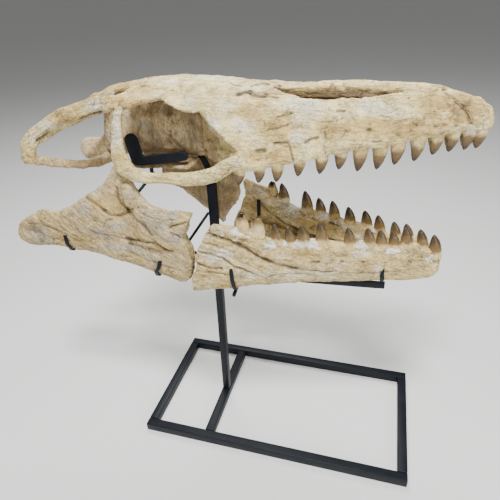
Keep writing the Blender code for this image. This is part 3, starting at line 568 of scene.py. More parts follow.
def bone_material(name, ivory, ochre, grey, warm, cool, dirt_and_shade, tilt, painted_shade_inside=1.0):
    material, shader, w = new_material(name)
    spot = w.node("TexCoord").outputs["Object"]
    lay = {"Vector": spot, "Tilt": (0, math.radians(tilt), 0)}
    mottle = w.group(FOSSIL_MOTTLE, {
        "Vector": spot, "Ivory": ivory, "Ochre": ochre, "Grey": grey,
        "Ochre Amount": warm, "Grey Amount": cool, "Stain and Shade": w.stored("stain_and_shade")})
    fibres = w.group(BONE_FIBRES, {**lay, "Fineness": 1.0})
    crackle = w.group(CRACKLE, {**lay, "Scale": 75.0, "Amount": 0.9})
    hairline = w.group(CRACKLE, {**lay, "Scale": 170.0, "Amount": 0.55})
    tone = w.mix(w.stored("plaster"), mottle["Color"], PLASTER_COLOR)
    cracks = w.math("MAXIMUM", crackle["Mask"], hairline["Mask"])
    streak = w.math("MAXIMUM", fibres["Mask"], cracks)
    # Dirt in the hollows and streaks, painted shade in the hollows and on sheltered faces.
    aged = w.group(DIRT_AND_SHADE, {
        "Color": tone, "Hollow": w.stored("hollow"), "Streak": streak, "Amount": dirt_and_shade,
        "Shelter": w.times(w.stored("shelter"), painted_shade_inside)})
    height = w.math("SUBTRACT", fibres["Height"], cracks)
    w.fill(shader, {"Base Color": aged["Color"], "Roughness": 0.72, "Specular IOR Level": 0.35,
                    "Normal": w.bump(height, 1.0, 1.1)})
    return material


IVORY, CREAM = (0.91, 0.76, 0.36, 1), (0.74, 0.58, 0.27, 1)
SAND, UMBER = (0.61, 0.48, 0.26, 1), (0.68, 0.53, 0.30, 1)
OCHRE, RUST = (0.60, 0.42, 0.15, 1), (0.42, 0.28, 0.11, 1)
GREY, PALE_GREY, WARM_GREY = (0.47, 0.43, 0.35, 1), (0.81, 0.75, 0.59, 1), (0.52, 0.46, 0.37, 1)
MATERIALS = {row[0]: bone_material(*row) for row in [
    # name, main, warm and cool tone, amounts of warm, cool and dirt with shade, tilt, painted shade
    # inside
    ("skull_bone", IVORY, OCHRE, PALE_GREY, 0.72, 0.5, 0.85, 4),
    ("arch_bone", CREAM, OCHRE, PALE_GREY, 0.85, 0.4, 0.9, -25),
    ("jaw_bone", CREAM, OCHRE, PALE_GREY, 0.62, 0.5, 0.9, 17, 0.35),
    ("rear_jaw_bone", SAND, OCHRE, GREY, 0.6, 0.6, 0.9, 33, 0.75),
    ("inner_bone", UMBER, RUST, WARM_GREY, 0.7, 0.45, 0.85, 80),
]}
print(len(MATERIALS), "bone materials")

# %% [markdown]
# ## Which mark goes on which bone
# The name of a view stands before its rows.  A row is a line's width, the depth of its cut
# and how dark its core is, and then its places, two numbers each, in millimetres: station
# and height from the side, station and offset from above.

# %% Marks on the skull
SKULL_MARKS = [
    "right", (2.6, 4.2, 2.6, 117, 676, 128, 677),
    (1.9, 2.8, 1.9, 145, 688, 154, 689, 166, 689, 169, 683, 173, 671, 175, 662),
    (1.9, 2.6, 1.8, 192, 690, 200, 694, 211, 696), (1.4, 1.5, 1.1, 221, 704, 223, 690, 224, 673),
    (1.4, 1.4, 1, 253, 708, 252, 700, 246, 694), (1.5, 1.8, 1, 132, 708, 149, 711, 163, 714),
    (1.4, 1.6, 0.9, 145, 726, 157, 729, 169, 731), (1.8, 2, 1.4, 237, 735, 248, 734.5),
    (1.6, 1.8, 1.3, 295, 690, 309, 691), (1.3, 1.4, 0.55, 107, 677, 106, 666),
    (2.2, 2.8, 1.2, 287, 706, 290, 707), (2.4, 2.8, 1.2, 357, 714.5, 359, 714),
    (2.3, 2.8, 1.2, 386, 712.5, 389, 712), (2.1, 2.6, 1.1, 398, 715, 400, 714.5),
    (2.1, 2.4, 1.1, 416, 713.5, 418, 713), (2, 2.2, 1, 330, 700, 335, 699),
    (2.2, 2.4, 1, 252, 706, 256, 705),
    (2.9, 2.6, 1, 392, 763, 405, 753, 418, 742, 427, 735, 435, 722, 440, 710),
    "left", (2.6, 2.4, 1.1, 392, 763, 405, 753, 418, 742, 427, 735, 435, 722, 440, 710),
    "right", (1.5, 1.4, 0.6, 405, 724, 420, 738, 432, 742), (1.5, 1.3, 0.5, 452, 742, 462, 730, 466, 716),
    (2.6, 1.2, 0.2, 72, 728, 96, 735, 130, 741), (3.4, -1.2, 0, 70, 736, 94, 743, 130, 748),
    (5, 1.2, 0, 240, 690, 290, 696, 350, 702), (1.4, 1.3, 0.5, 300, 728, 330, 722, 352, 724),
    (1.4, 1.3, 0.5, 196, 722, 214, 718, 232, 720),
    "left", (2.2, 2.4, 1.1, 300, 712, 303, 711), (2.2, 2.4, 1.1, 357, 714, 360, 714),
    (2, 2.4, 1.1, 398, 715, 400, 714.5), (2.2, 2.2, 1.1, 252, 706, 256, 705),
    (2, 2, 0.8, 120, 684, 150, 690, 176, 688), (1.8, 1.5, 0.5, 200, 720, 240, 716, 270, 722),
    (5, 1.2, 0, 240, 690, 290, 696, 350, 702),
    "top", (2.2, 1.7, 0.5, -21, -58, 13, -55, 47, -53, 70, -50, 77, -48),
    (2.8, 3.8, 2.6, 77, -48, 85, -43, 94, -36),
    (2.4, 3.2, 2.2, 92, -40, 99, -45, 112, -45, 127, -40, 140, -39),
    (2.8, 3.8, 2.6, 120, -35, 129, -27, 136, -12), (1.8, 1.8, 1.2, 91, -23, 107, -12, 120, -12),
    (2, 2.4, 1.7, 55, -20, 67, -27, 75, -27),
    (2.2, 2, 0.9, -21, 56, 13, 52, 47, 55, 78, 44, 93, 38, 120, 36, 136, 14),
    (1.8, 1.2, 0.45, 96, -1, 40, 1, -30, -1, -90, 1), (1.8, 1.4, 0.5, 60, -20, 20, -28, -30, -22),
    (1.8, 1.4, 0.5, 30, 12, -10, 22, -50, 18),
]
ARCH_MARKS = [
    "right", (2.4, 3.2, 1.4, -150, 731, -180, 722, -213, 708, -232, 701, -255, 693, -276, 682),
    (1.8, 1.4, 0.4, -140, 746, -170, 742, -200, 730), (2, 1.6, 0.7, -300, 655, -290, 650),
    "left", (2.5, 2.2, 0.8, -150, 731, -200, 716, -250, 695),
]
PARIETAL_MARKS = [
    "right", (2.2, 2, 1, -178, 741, -150, 746, -122, 751),
    "left", (2.2, 2, 1, -178, 741, -150, 746, -122, 751),
    "top", (1.8, 1.6, 0.6, -170, 2, -120, 0, -96, 1),
]
WALL_MARKS = [
    "right", (6, 2.4, 0.3, -100, 740, -96, 700, -104, 650), (6.5, 2.6, 0.3, -62, 740, -58, 705, -66, 660),
    (6, 2.4, 0.3, -20, 740, -14, 700, -24, 655), (5, -2.2, 0, -40, 735, -36, 700, -46, 670),
    (5, -2, 0, -80, 735, -78, 700, -84, 670),
    "left", (6, 2.2, 0.3, -80, 740, -76, 700, -84, 650),
]

# %% Marks on the jaws
DENTARY_MARKS = [
    "right", (5.5, -3, 0, 30, 544, 62, 531, 84, 521, 106, 506, 128, 489, 156, 475),
    (3.2, 5.2, 1.2, 24, 537, 55, 523, 76, 513, 98, 498, 119, 482, 137, 471, 156, 465, 178, 459, 196, 453),
    (5.5, 1.8, 0.3, 60, 514, 100, 490, 139, 465, 180, 454),
    (2.2, 2.8, 0.9, 16, 496, 36, 489, 54, 482, 75, 464, 97, 452, 115, 442),
    (2, 2.4, 0.85, 9, 472, 27, 463, 53, 458), (2, 2.4, 0.8, 18, 516, 33, 512, 55, 503, 76, 492),
    (1.6, 1.7, 0.5, 30, 500, 56, 492, 78, 478, 100, 466), (1.8, 1.8, 0.6, 6, 455, 56, 447, 86, 437),
    (2.6, 3.2, 1.3, 164, 474, 175, 472), (2.4, 3, 1.3, 213, 470.5, 224, 468.5),
    (2.2, 2.4, 1.1, 262, 468, 266, 468), (2.2, 2.4, 1.1, 300, 466, 303, 466),
    (2, 2.2, 1.1, 340, 464, 343, 464), (2, 2.2, 1.1, 384, 462, 387, 462),
    (1.8, 1.8, 0.7, 200, 454, 237, 448, 259, 450), (1.7, 1.6, 0.65, 137, 441, 170, 446, 200, 442),
    (1.8, 2, 0.6, 40, 540, 62, 532, 91, 516, 108, 511), (3.4, 1.6, 0.25, 180, 482, 240, 479, 320, 476),
    (1.9, 1.5, 0.55, 260, 444, 310, 441, 380, 446), (1.5, 1.5, 0.6, 345, 490, 349, 470, 341, 456),
]
FAR_DENTARY_MARKS = [
    "right", (6.5, -4.4, 0, 40, 540, 82, 522, 120, 500, 149, 486, 186, 473, 226, 467, 262, 464),
    (4.2, 3.6, 0.8, 60, 512, 80, 499, 100, 485, 120, 473, 158, 458, 200, 450),
    (4, 3.6, 0.8, 226, 457, 242, 455), (3.2, 3.8, 1.3, 106, 527, 109, 525),
    (3.2, 3.8, 1.3, 160, 506, 163, 505), (3.2, 3.2, 1, 228, 492, 246, 490),
    (2, 2, 0.6, 70, 540, 110, 520, 160, 500, 220, 485),
    "left", (2.4, 2.4, 0.8, 60, 500, 120, 478, 200, 455), (2.6, 2.8, 1.2, 170, 473, 174, 473),
    (2.6, 2.8, 1.2, 240, 470, 244, 470), (2.4, 2.6, 1.2, 300, 466, 304, 466),
]
REAR_JAW_MARKS = [
    "right", (7, -3.6, 0, -121, 602, -117, 583),
    (3.8, 3.6, 0.8, -143, 596, -142, 580, -139, 567, -127, 555, -111, 543, -92, 531, -79, 518),
    (2.6, 3.6, 1.1, -205, 578, -185, 567, -174, 556, -159, 545, -143, 544, -127, 553),
    (2.3, 2.9, 1.1, -207, 516, -195, 506, -168, 507, -149, 501, -129, 496, -101, 498, -74, 501, -55, 487,
     -38, 487), (8, 3, 0.1, -190, 500, -150, 489, -110, 484, -70, 481),
    (3.6, -2, 0, -192, 489, -182, 470, -172, 456, -136, 454, -95, 466),
    (1.8, 1.6, 0.6, -186, 488, -176, 470, -162, 461, -130, 460),
    (4, -2.2, 0, -355, 519, -317, 525, -284, 514, -256, 503, -231, 495, -210, 491),
    (2.2, 1.8, 0.6, -350, 510, -317, 515, -284, 505, -256, 494, -231, 486),
    (9, 3.2, 0.2, -369, 498, -338, 492, -299, 487, -271, 489),
    (1.8, 2.2, 0.9, -272, 515, -255, 504, -234, 495), (2.2, 3, 1.1, -40, 536, -23, 544, -8, 549),
    (2.2, 3, 1.1, -38, 526, -25, 522, -12, 518), (1.8, 1.8, 0.5, -95, 569, -68, 566, -35, 567, -7, 568),
    (1.8, 1.8, 0.5, -90, 556, -50, 549, -14, 556), (1.6, 1.8, 0.7, -179, 523, -170, 534, -157, 538),
    (2, 1.8, 0.6, -270, 541, -236, 524, -207, 509), (1.6, 1.6, 0.6, -240, 547, -218, 532, -200, 521),
    (5, 3, 0.5, -60, 491, -44, 486), (2, 1.8, 0.5, -140, 470, -90, 458, -30, 447),
    "left", (4.5, 3, 0.4, -260, 530, -200, 505, -120, 490, -40, 495),
    (2.4, 2, 0.7, -180, 570, -120, 545, -60, 530),
]
ALL_MARKS = (SKULL_MARKS + ARCH_MARKS + PARIETAL_MARKS + WALL_MARKS + DENTARY_MARKS
             + FAR_DENTARY_MARKS + REAR_JAW_MARKS)
print(len(list(by_view(ALL_MARKS))), "marks")

# %% [markdown]
# ## Stains and painted shade
# The rock left its colour in patches: ochre where iron was rich, pale grey where minerals
# coat the bone.  The strong brown bands on the side faces of the snout's bar and of the
# parietal are no stains but painted shade.  A row is a place on its view, a half length and
# half height, and a strength: over 0 for ochre, under 0 for pale grey.

# %% Stains and painted shade
SKULL_STAINS = [
    "rear", (-58, 690, 34, 48, 0.2), (58, 690, 34, 48, 0.2),
    "right", (424, 738, 14, 14, 1.2), (86, 717, 16, 12, -0.8), (178, 743, 32, 9, -0.9),
    (177, 698, 10, 8, -0.6), (194, 685, 9, 7, -0.6), (285, 742, 20, 9, -0.7), (315, 731, 36, 8, -0.7),
    (43, 717, 15, 12, -0.7), (60, 743, 18, 9, -0.6), (157, 671, 17, 11, 1), (292, 713, 48, 12, 0.8),
    (380, 745, 26, 14, 1.2), (350, 707, 50, 14, 0.7), (440, 735, 26, 20, 0.6), (146, 709, 26, 9, 0.9),
    (90, 731, 17, 9, 0.9), (118, 667, 16, 8, 0.9), (407, 724, 15, 9, 0.7), (228, 710, 16, 10, 0.6),
    "left", (150, 710, 30, 14, 0.5), (300, 720, 40, 12, 0.5), (90, 700, 20, 14, -0.6),
    "top", (20, 0, 44, 22, -0.6), (-60, 20, 24, 18, 0.5), (-50, -30, 22, 14, -0.5),
]
BAR_STAINS_AND_SHADE = SKULL_STAINS + [
    # Painted shade: strong brown bands on the side faces of the snout's bar, which lie in shade.
    "right", (200, 751, 80, 8, 2.2), (290, 752, 60, 8, 2), (160, 760, 22, 5, -0.7),
    "left", (200, 751, 80, 8, 2), (290, 752, 60, 8, 1.8),
]
ARCH_STAINS = [
    "right", (-118, 753, 16, 10, 1), (-220, 721, 20, 11, 0.8), (-295, 651, 14, 10, 0.6),
    (-116, 660, 14, 12, 0.6), (-249, 626, 24, 8, 0.5), (-80, 753, 16, 8, 0.6), (-155, 742, 17, 10, -0.8),
    (-250, 708, 18, 10, -0.7), (-283, 690, 12, 10, -0.6), (-115, 705, 12, 22, -0.8),
    (-67, 756, 16, 8, -0.6),
]
PARIETAL_SHADE = [
    # Painted shade: a brown band on the side faces of the parietal, which lie in shade.
    "right", (-150, 748, 44, 9, 1.9),
    "left", (-150, 748, 44, 9, 1.7),
]
DENTARY_STAINS = [
    "right", (83, 517, 20, 11, 0.8), (126, 491, 20, 9, 0.6), (198, 488, 24, 8, 0.6),
    (49, 419, 26, 8, 0.5), (318, 468, 22, 8, 0.6), (420, 465, 16, 9, 0.7), (260, 480, 22, 8, 0.5),
    (62, 493, 18, 9, -0.6), (185, 445, 30, 10, -0.7), (229, 443, 24, 9, -0.6), (39, 481, 14, 9, -0.6),
    (298, 481, 20, 8, -0.6), (102, 444, 24, 8, -0.7),
]
FAR_DENTARY_STAINS = [
    "right", (231, 471, 26, 7, 0.3), (66, 530, 26, 7, -0.6), (110, 508, 22, 6, -0.4),
    (150, 490, 24, 6, -0.4), (66, 486, 26, 9, 0.5), (132, 460, 38, 6, 0.8), (259, 493, 16, 6, -1),
    (290, 475, 16, 6, -0.8),
]
REAR_JAW_STAINS = [
    "right", (-362, 502, 26, 24, 0.5), (-301, 525, 22, 14, 0.6), (-142, 558, 17, 15, 1),
    (-185, 567, 14, 12, 0.6), (-120, 518, 22, 10, 0.6), (-55, 492, 22, 8, 1.1), (-120, 461, 30, 9, 0.5),
    (-280, 483, 24, 9, 0.5), (-224, 490, 22, 10, 0.6), (-207, 557, 16, 12, -0.7),
    (-188, 509, 18, 10, -0.7), (-152, 525, 20, 9, -0.9), (-139, 477, 46, 9, -0.7),
    (-29, 517, 20, 11, -0.7), (-338, 492, 28, 13, -0.6), (-78, 536, 18, 10, -0.6),
]
ALL_STAINS_AND_SHADE = (BAR_STAINS_AND_SHADE + ARCH_STAINS + PARIETAL_SHADE + DENTARY_STAINS + FAR_DENTARY_STAINS
              + REAR_JAW_STAINS)
print(len(list(by_view(ALL_STAINS_AND_SHADE))), "stains_and_shade")

# %% [markdown]
# ## Plaster fillings
# Between some of the lower teeth the jaw's edge was rebuilt with plaster.  A filling swells
# the surface a little round a spot on the side view and paints it white.

# %% Plaster
NEAR_PLASTER = [(84, 532, 14, 7), (140, 505, 16, 6), (165, 504, 16, 5), (190, 503, 16, 5),
                (208, 504, 12, 6), (298, 498, 13, 9), (350, 487, 14, 6), (419, 471, 9, 8)]
FAR_PLASTER = [(321, 499, 14, 6), (365, 499, 8, 6), (150, 504, 18, 6), (215, 500, 16, 6)]
print(len(NEAR_PLASTER + FAR_PLASTER), "fillings")


def plastered(made, spots):
    """Swell a jaw's edge at each spot (station, height, long, tall); returns the paint."""
    points, out = places(made), normals(made)
    paint = np.zeros(len(points))
    ragged = np.clip(1 + 1.1 * noise(points / 6, 77) + 0.8 * noise(points / 2.8, 78), 0.1, 4)
    for x, z, long, tall in spots:
        reach = ((points[:, 0] - x) / long) ** 2 + ((points[:, 2] - z) / tall) ** 2
        paint = np.maximum(paint, np.clip(2.6 * (1 - reach * ragged), 0, 1))
    crumbs = paint * (0.8 + 0.8 * noise(points / 3, 79))
    place(made, points + out * crumbs[:, None])
    return paint

# %% [markdown]
# ## The bones
# Every bone in the list is copied, skinned, weathered and marked.  The bones of a family
# share a material and a noise seed, so the relief runs on from one to the next.  The grain
# is the way that the fibres run.  The CAD teeth are part of their bones: there the skin
# shrinks a little, to lie inside the finer teeth that come next.

# %% Where the CAD teeth are
GUM = [
    (472, 6, 707), (464, 12, 707), (446, 17, 707), (415, 24, 699), (385, 31, 695), (335, 43, 685),
    (250, 63, 673), (175, 81, 657), (120, 94, 645), (60, 104, 640), (5, 110, 636),
]
JAW_EDGE = [
    (437, 456), (430, 471), (412, 488), (390, 497), (366, 495), (343, 491), (318, 497), (293, 503),
    (268, 498), (243, 503), (214, 507), (188, 506), (158, 506), (130, 515), (108, 529), (83, 538),
    (56, 543), (30, 546),
]


def level(table, x, column):
    """A column of a table of (station, ...) rows, read between the rows."""
    rows = np.array(table[::-1], float)
    return np.interp(x, rows[:, 0], rows[:, column])


def in_crown(node, points):
    """True where a vertex belongs to a CAD tooth rather than to its bone."""
    x, z = points[:, 0], points[:, 2]
    if node in ("premaxilla", "maxilla_right", "maxilla_left"):
        return (z < level(GUM, x, 2) - 2) & (x > 72)
    if node in ("dentary_right", "dentary_left"):
        return (z > level(JAW_EDGE, x, 1) + 3) & (x > 70)
    return np.zeros(len(points), bool)


# %% Bones
SEEDS = {"skull": 100, "arch": 200, "inner": 300, "jaw": 400, "rear_jaw": 500}
SKULL, ARCH = (SKULL_MARKS, SKULL_STAINS), (ARCH_MARKS, ARCH_STAINS)
REAR_JAW = (REAR_JAW_MARKS, REAR_JAW_STAINS)
BONES = [
    # node, family, grain, voxel, rough, then marks, stains (and painted shade on two bones) and
    # plaster where there are any
    ("premaxilla", "skull", (1, 0, 0), 1.5, 0.8, SKULL_MARKS, BAR_STAINS_AND_SHADE),
    ("maxilla_right", "skull", (1, 0.25, 0.06), 1.4, 0.9, *SKULL),
    ("maxilla_left", "skull", (1, -0.25, 0.06), 1.5, 0.9, *SKULL),
    ("prefrontal_right", "skull", (1, 0.25, 0.06), 1.4, 0.9, *SKULL),
    ("prefrontal_left", "skull", (1, -0.25, 0.06), 1.5, 0.9, *SKULL),
    ("frontal", "skull", (1, 0, 0), 1.5, 0.9, *SKULL),
    ("parietal", "arch", (1, 0, 0.1), 1.5, 1.0, PARIETAL_MARKS, PARIETAL_SHADE),
    ("postorbitofrontal_right", "arch", (1, 0, 0), 1.4, 1.0, *ARCH),
    ("postorbitofrontal_left", "arch", (1, 0, 0), 1.5, 1.0),
    ("jugal_right", "skull", (1, 0, 0), 1.3, 0.8, [], ARCH_STAINS),
    ("jugal_left", "skull", (1, 0, 0), 1.5, 0.8),
    ("squamosal_right", "arch", (0.9, 0, 0.4), 1.3, 1.0, *ARCH),
    ("squamosal_left", "arch", (0.9, 0, 0.4), 1.5, 1.0, ARCH_MARKS),
    ("supratemporal_right", "arch", (0.7, -0.5, 0.4), 1.3, 1.0, [], ARCH_STAINS),
    ("supratemporal_left", "arch", (0.7, 0.5, 0.4), 1.5, 1.0),
    ("paroccipital_right", "inner", (0.6, -0.8, 0.1), 1.2, 0.9),
    ("paroccipital_left", "inner", (0.6, 0.8, 0.1), 1.5, 0.9),
    ("braincase", "inner", (0.15, 0, 1), 1.6, 1.2, WALL_MARKS),
    ("vomer_palatine", "inner", (1, 0, 0), 1.7, 1.0),
    ("pterygoid_right", "inner", (1, 0, 0), 1.6, 1.0),
    ("pterygoid_left", "inner", (0.6, 0, -0.7), 1.5, 1.0),
    ("dentary_right", "jaw", (1, 0.25, -0.26), 1.4, 1.1,
     DENTARY_MARKS, DENTARY_STAINS, NEAR_PLASTER),
    ("dentary_left", "jaw", (1, -0.25, -0.26), 1.5, 1.2,
     FAR_DENTARY_MARKS, FAR_DENTARY_STAINS, FAR_PLASTER),
    ("splenial_right", "inner", (1, 0.25, 0), 1.2, 0.8),
    ("splenial_left", "jaw", (1, -0.25, 0), 1.2, 0.8, [], FAR_DENTARY_STAINS),
    ("coronoid_right", "rear_jaw", (0.6, 0, 0.8), 1.3, 1.0, *REAR_JAW),
    ("articular_right", "rear_jaw", (0.8, 0, -0.55), 1.4, 1.2, *REAR_JAW),
    ("angular_right", "rear_jaw", (0.85, 0, -0.5), 1.4, 1.2, *REAR_JAW),
    ("surangular_right", "rear_jaw", (0.85, 0, -0.5), 1.4, 1.2, *REAR_JAW),
]
RAGGED = {"pterygoid_left": 3.4, "pterygoid_right": 1.5, "surangular_right": 1.2, "dentary_left": 0.8}


def sculpt(node, family, grain, voxel, rough, marks=(), stains_and_shade=(), fillings=()):
    """Make one bone from its CAD solid; returns its number of faces."""
    seed, finish = SEEDS[family], family + "_bone"
    bone = skin_of("bone_" + node, node, voxel)
    start = places(bone)
    others = tree_of([name for name in BONE_NODES if name != node])
    seam = closeness(start, others, SEAM_REACH)
    steel = closeness(start, STEEL_TREE, STEEL_REACH)
    hollow = weather(bone, grain, seed, rough, seam, steel, in_crown(node, start), others,
                     RAGGED.get(node, 0))
    hollow = mark(bone, hollow, marks, seed)
    paint = plastered(bone, fillings)
    points, out = places(bone), normals(bone)
    store(bone, "hollow", hollow * (1 - 0.6 * paint))
    store(bone, "plaster", paint)
    store(bone, "stain_and_shade", np.clip(patches(points, out, stains_and_shade, seed + 60), -1, 2))
    # How sheltered each point is, which the material paints as shade.
    store(bone, "shelter", averaged(bone, shelter_of(points, out)[:, None], SHELTER_ROUNDS)[:, 0])
    bone.data.materials.append(MATERIALS[finish])
    bone.data.shade_smooth()
    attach(bone, "root")
    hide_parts(node)
    print(bone.name, len(bone.data.polygons), "faces")
    return len(bone.data.polygons)


print(len(BONES), "bones,", sum(sculpt(*row) for row in BONES), "faces")

# %% [markdown]
# ## Teeth
# A mosasaur's tooth is a curved cone on a swollen bony root.  The crown is glossy brown
# enamel, darkest at the tip; the root is pale and porous like the jaw.  Every tooth is
# lofted from rings.  How far each ring lies toward the tip is stored as "crown", and the
# material turns from root to enamel on it.

# %% Tooth rows
UPPER_TEETH = [
    (85, 27), (118, 26), (147, 31), (182, 29), (217, 33), (247, 32), (277, 40), (307, 41),
    (334, 38), (364, 38), (391, 33), (415, 32),
]
FRONT_TEETH = [(438, 35), (455, 33)]
LOWER_TEETH = {
    "right": [(84, 37), (110, 43), (143, 31), (166, 28), (190, 31), (221, 36), (270, 31), (304, 29),
              (326, 30), (348, 28), (369, 32), (397, 25), (420, 36)],
    "left": [(97, 26), (123, 36), (174, 40), (203, 30), (231, 32), (263, 32), (295, 28), (320, 30),
             (350, 26), (372, 24), (397, 22), (422, 32)],
}
SNAPPED_LOWER = {"right": 2, "left": 1}
SNAPPED = 0.72
# By which share of its length a tooth's enamel reaches farther toward the root
UPPER_BARE, LOWER_BARE, STUMP_BARE = 0.05, 0.16, -0.06
SLIMMEST, STOUTEST = 13.5, 24
# Millimetres from the gum inward, and from the middle to the jaw at its station
INSET, HALF_JAW, JAW_STATION, JAW_SPREAD = 8, 23, 350, 0.27
SIDES = {"right": -1, "left": 1}


def upper_roots(stations, side):
    for x, height in stations:
        gum_y, gum_z = level(GUM, x + 5, 1), level(GUM, x + 5, 2)
        y = max(gum_y - INSET, 7)
        wide = SLIMMEST + height * 0.23
        yield (x, side * y, gum_z + 1), (x - 1, side * (y - 1), gum_z - height), wide, 1.0, UPPER_BARE


def lower_roots(label):
    side = SIDES[label]
    for i, (x, height) in enumerate(LOWER_TEETH[label]):
        y = max(HALF_JAW + JAW_SPREAD * (JAW_STATION - x - 4), 8)
        gum = level(JAW_EDGE, x + 4, 1)
        wide = min(STOUTEST, SLIMMEST + height * 0.25)
        stands, bare = (SNAPPED, STUMP_BARE) if i < SNAPPED_LOWER[label] else (1.0, LOWER_BARE)
        yield (x + 4, side * y, gum - 2), (x - 1, side * (y - 1), gum + height), wide, stands, bare


# %% Tooth shape
ROUND, RINGS = 22, 22
TOOTH_SINK, BOW, ACROSS = 7, 0.07, 0.37
INNER_RINGS, INNER_SIZE, INNER_CROWN = (0.9, 0.66), 0.62, 2.0
BREAK_WAVES = [(3.4, 1), (1.3, 3), (0.9, 8)]
TOOTH_PROFILE = [(0, 1.1), (0.18, 1.08), (0.36, 1.0), (0.53, 0.88), (0.76, 0.62), (0.9, 0.38),
                 (0.97, 0.22), (1, 0.08)]


def tooth(form, crown, base, tip, wide, stands, bare, seed):
    """Add one tooth to a growing mesh; a higher bare value shows more enamel."""
    base, tip = Vector(base), Vector(tip)
    down = (tip - base).normalized()
    sink = base - down * TOOTH_SINK
    shares = [stands * n / RINGS for n in range(RINGS + 1)]
    loops = []
    for share in shares + ([stands * n for n in INNER_RINGS] if stands < 1 else []):
        inner = len(loops) > RINGS
        middle = sink.lerp(tip, share)
        size = float(np.interp(share, *zip(*TOOTH_PROFILE))) * (INNER_SIZE if inner else 1)
        middle.x += wide * BOW * math.sin(math.pi * share)
        loop = []
        for i in range(ROUND):
            angle = 2 * math.pi * i / ROUND
            flute = 1 + 0.02 * math.cos(5 * angle + seed) * min(1, 2 * share)
            keel = 1 + 0.1 * (math.cos(angle) ** 8) * share
            chip = 0.0
            if stands < 1 and share >= 0.86 * stands:
                chip = sum(deep * math.sin(n * angle + n * seed) for deep, n in BREAK_WAVES)
            offset = Vector((math.cos(angle) * wide / 2 * keel, math.sin(angle) * wide * ACROSS, 0))
            vertex = form.verts.new((middle + offset * size * flute + down * chip) * MM)
            crown[vertex] = INNER_CROWN if inner else share + bare
            loop.append(vertex)
        loops.append(loop)
    for here, there in zip(loops, loops[1:]):
        for i in range(ROUND):
            j = (i + 1) % ROUND
            form.faces.new((here[i], here[j], there[j], there[i]))
    form.faces.new(loops[0][::-1])
    form.faces.new(loops[-1])


def tooth_row(name, roots, seed):
    form, crown = bmesh.new(), {}
    for count, root in enumerate(roots):
        tooth(form, crown, *root, seed + count)
    bmesh.ops.recalc_face_normals(form, faces=form.faces)
    form.verts.index_update()
    values = np.array([crown[v] for v in form.verts])
    mesh = bpy.data.meshes.new(name)
    form.to_mesh(mesh)
    form.free()
    row = linked(name, mesh)
    points, out = places(row), normals(row)
    pale = np.clip((0.5 - values) / 0.2, 0, 1)
    relief = (0.25 + 0.35 * pale) * noise(points / 4, seed)
    relief += 0.2 * noise(points * (0.7, 0.7, 0.12), seed + 1)
    place(row, points + out * relief[:, None])
    store(row, "crown", values)
    row.data.materials.append(TOOTH)
    row.data.shade_smooth()
    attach(row, "root")
    print(name, count + 1, "teeth")

# %% [markdown]
# The tooth material reads "crown".  A noise shifts the border between root and enamel, so
# no two crowns end at the same height, and the enamel's gloss grows toward the tip.  The
# inside of a snapped crown carries a value of its own and is nearly black.

# %% Tooth material
ENAMEL_COLOR, DARK_ENAMEL = (0.215, 0.14, 0.055, 1), (0.075, 0.048, 0.02, 1)
TIP_COLOR, WORN_COLOR = (0.06, 0.042, 0.025, 1), (0.30, 0.21, 0.11, 1)
STREAK_COLOR, INNER_COLOR = (0.07, 0.045, 0.025, 1), (0.03, 0.02, 0.012, 1)
TOOTH, shader, w = new_material("tooth_enamel")
spot = w.node("TexCoord").outputs["Object"]
crown = w.stored("crown")
ragged = w.times(w.math("SUBTRACT", w.noise(spot, 70.0), 0.5), 0.42)
reach = w.math("ADD", crown, ragged)
enamel = w.band(reach, 0.38, 0.54)
dark = w.band(reach, 0.5, 0.9)
tip = w.band(crown, 0.88, 1.0)
streaks = w.group(BONE_FIBRES, {
    "Vector": spot, "Tilt": (0, math.pi / 2, 0), "Fineness": 1.2})
tone = w.mix(dark, ENAMEL_COLOR, DARK_ENAMEL)
pale = w.band(w.noise(spot, 150.0), 0.52, 0.7)
tone = w.mix(w.times(pale, 0.35), tone, WORN_COLOR)
tone = w.mix(tip, tone, TIP_COLOR)
root = w.group(FOSSIL_MOTTLE, {
    "Vector": spot, "Ivory": CREAM, "Ochre": OCHRE, "Grey": PALE_GREY,
    "Ochre Amount": 0.8, "Grey Amount": 0.5, "Stain and Shade": 0.0})
tone = w.mix(enamel, root["Color"], tone)
tone = w.mix(w.times(streaks["Mask"], 0.4), tone, STREAK_COLOR)
tone = w.mix(w.band(crown, 1.3, 1.6), tone, INNER_COLOR)
w.fill(shader, {"Base Color": tone, "Roughness": w.band(enamel, 0.0, 1.0, 0.72, 0.22),
                "Specular IOR Level": 0.28, "Normal": w.bump(streaks["Height"], 0.3, 0.3)})
print(TOOTH.name, "has", len(w.tree.nodes), "nodes")

# %% Rows of teeth
for label, side in SIDES.items():
    tooth_row("teeth_upper_" + label, upper_roots(UPPER_TEETH, side), 11)
    tooth_row("teeth_front_" + label, upper_roots(FRONT_TEETH, side), 31)
    tooth_row("teeth_lower_" + label, lower_roots(label), 51)

# %% [markdown]
# ## The steel stand
# The stand is painted a satin blue-black.  Square tube has rounded corners, and a bent rod
# has no sharp edge.  Flat and square stock gets a bevel; rods are skinned with fine voxels
# and smoothed, which rounds their bends.

# %% Steel paint
PAINT_COLOR, DUST_COLOR = (0.005, 0.007, 0.011, 1), (0.018, 0.021, 0.027, 1)
STEEL, shader, w = new_material("black_steel")
spot = w.node("TexCoord").outputs["Object"]
dust = w.band(w.noise(spot, 24.0, 6.0, 0.6), 0.45, 0.8)
w.fill(shader, {"Base Color": w.mix(w.times(dust, 0.35), PAINT_COLOR, DUST_COLOR),
                "Roughness": w.band(dust, 0.0, 1.0, 0.45, 0.65), "Specular IOR Level": 0.22,
                "Normal": w.bump(w.noise(spot, 420.0, 2.0), 0.25, 0.2)})
print(STEEL.name, "has", len(w.tree.nodes), "nodes")

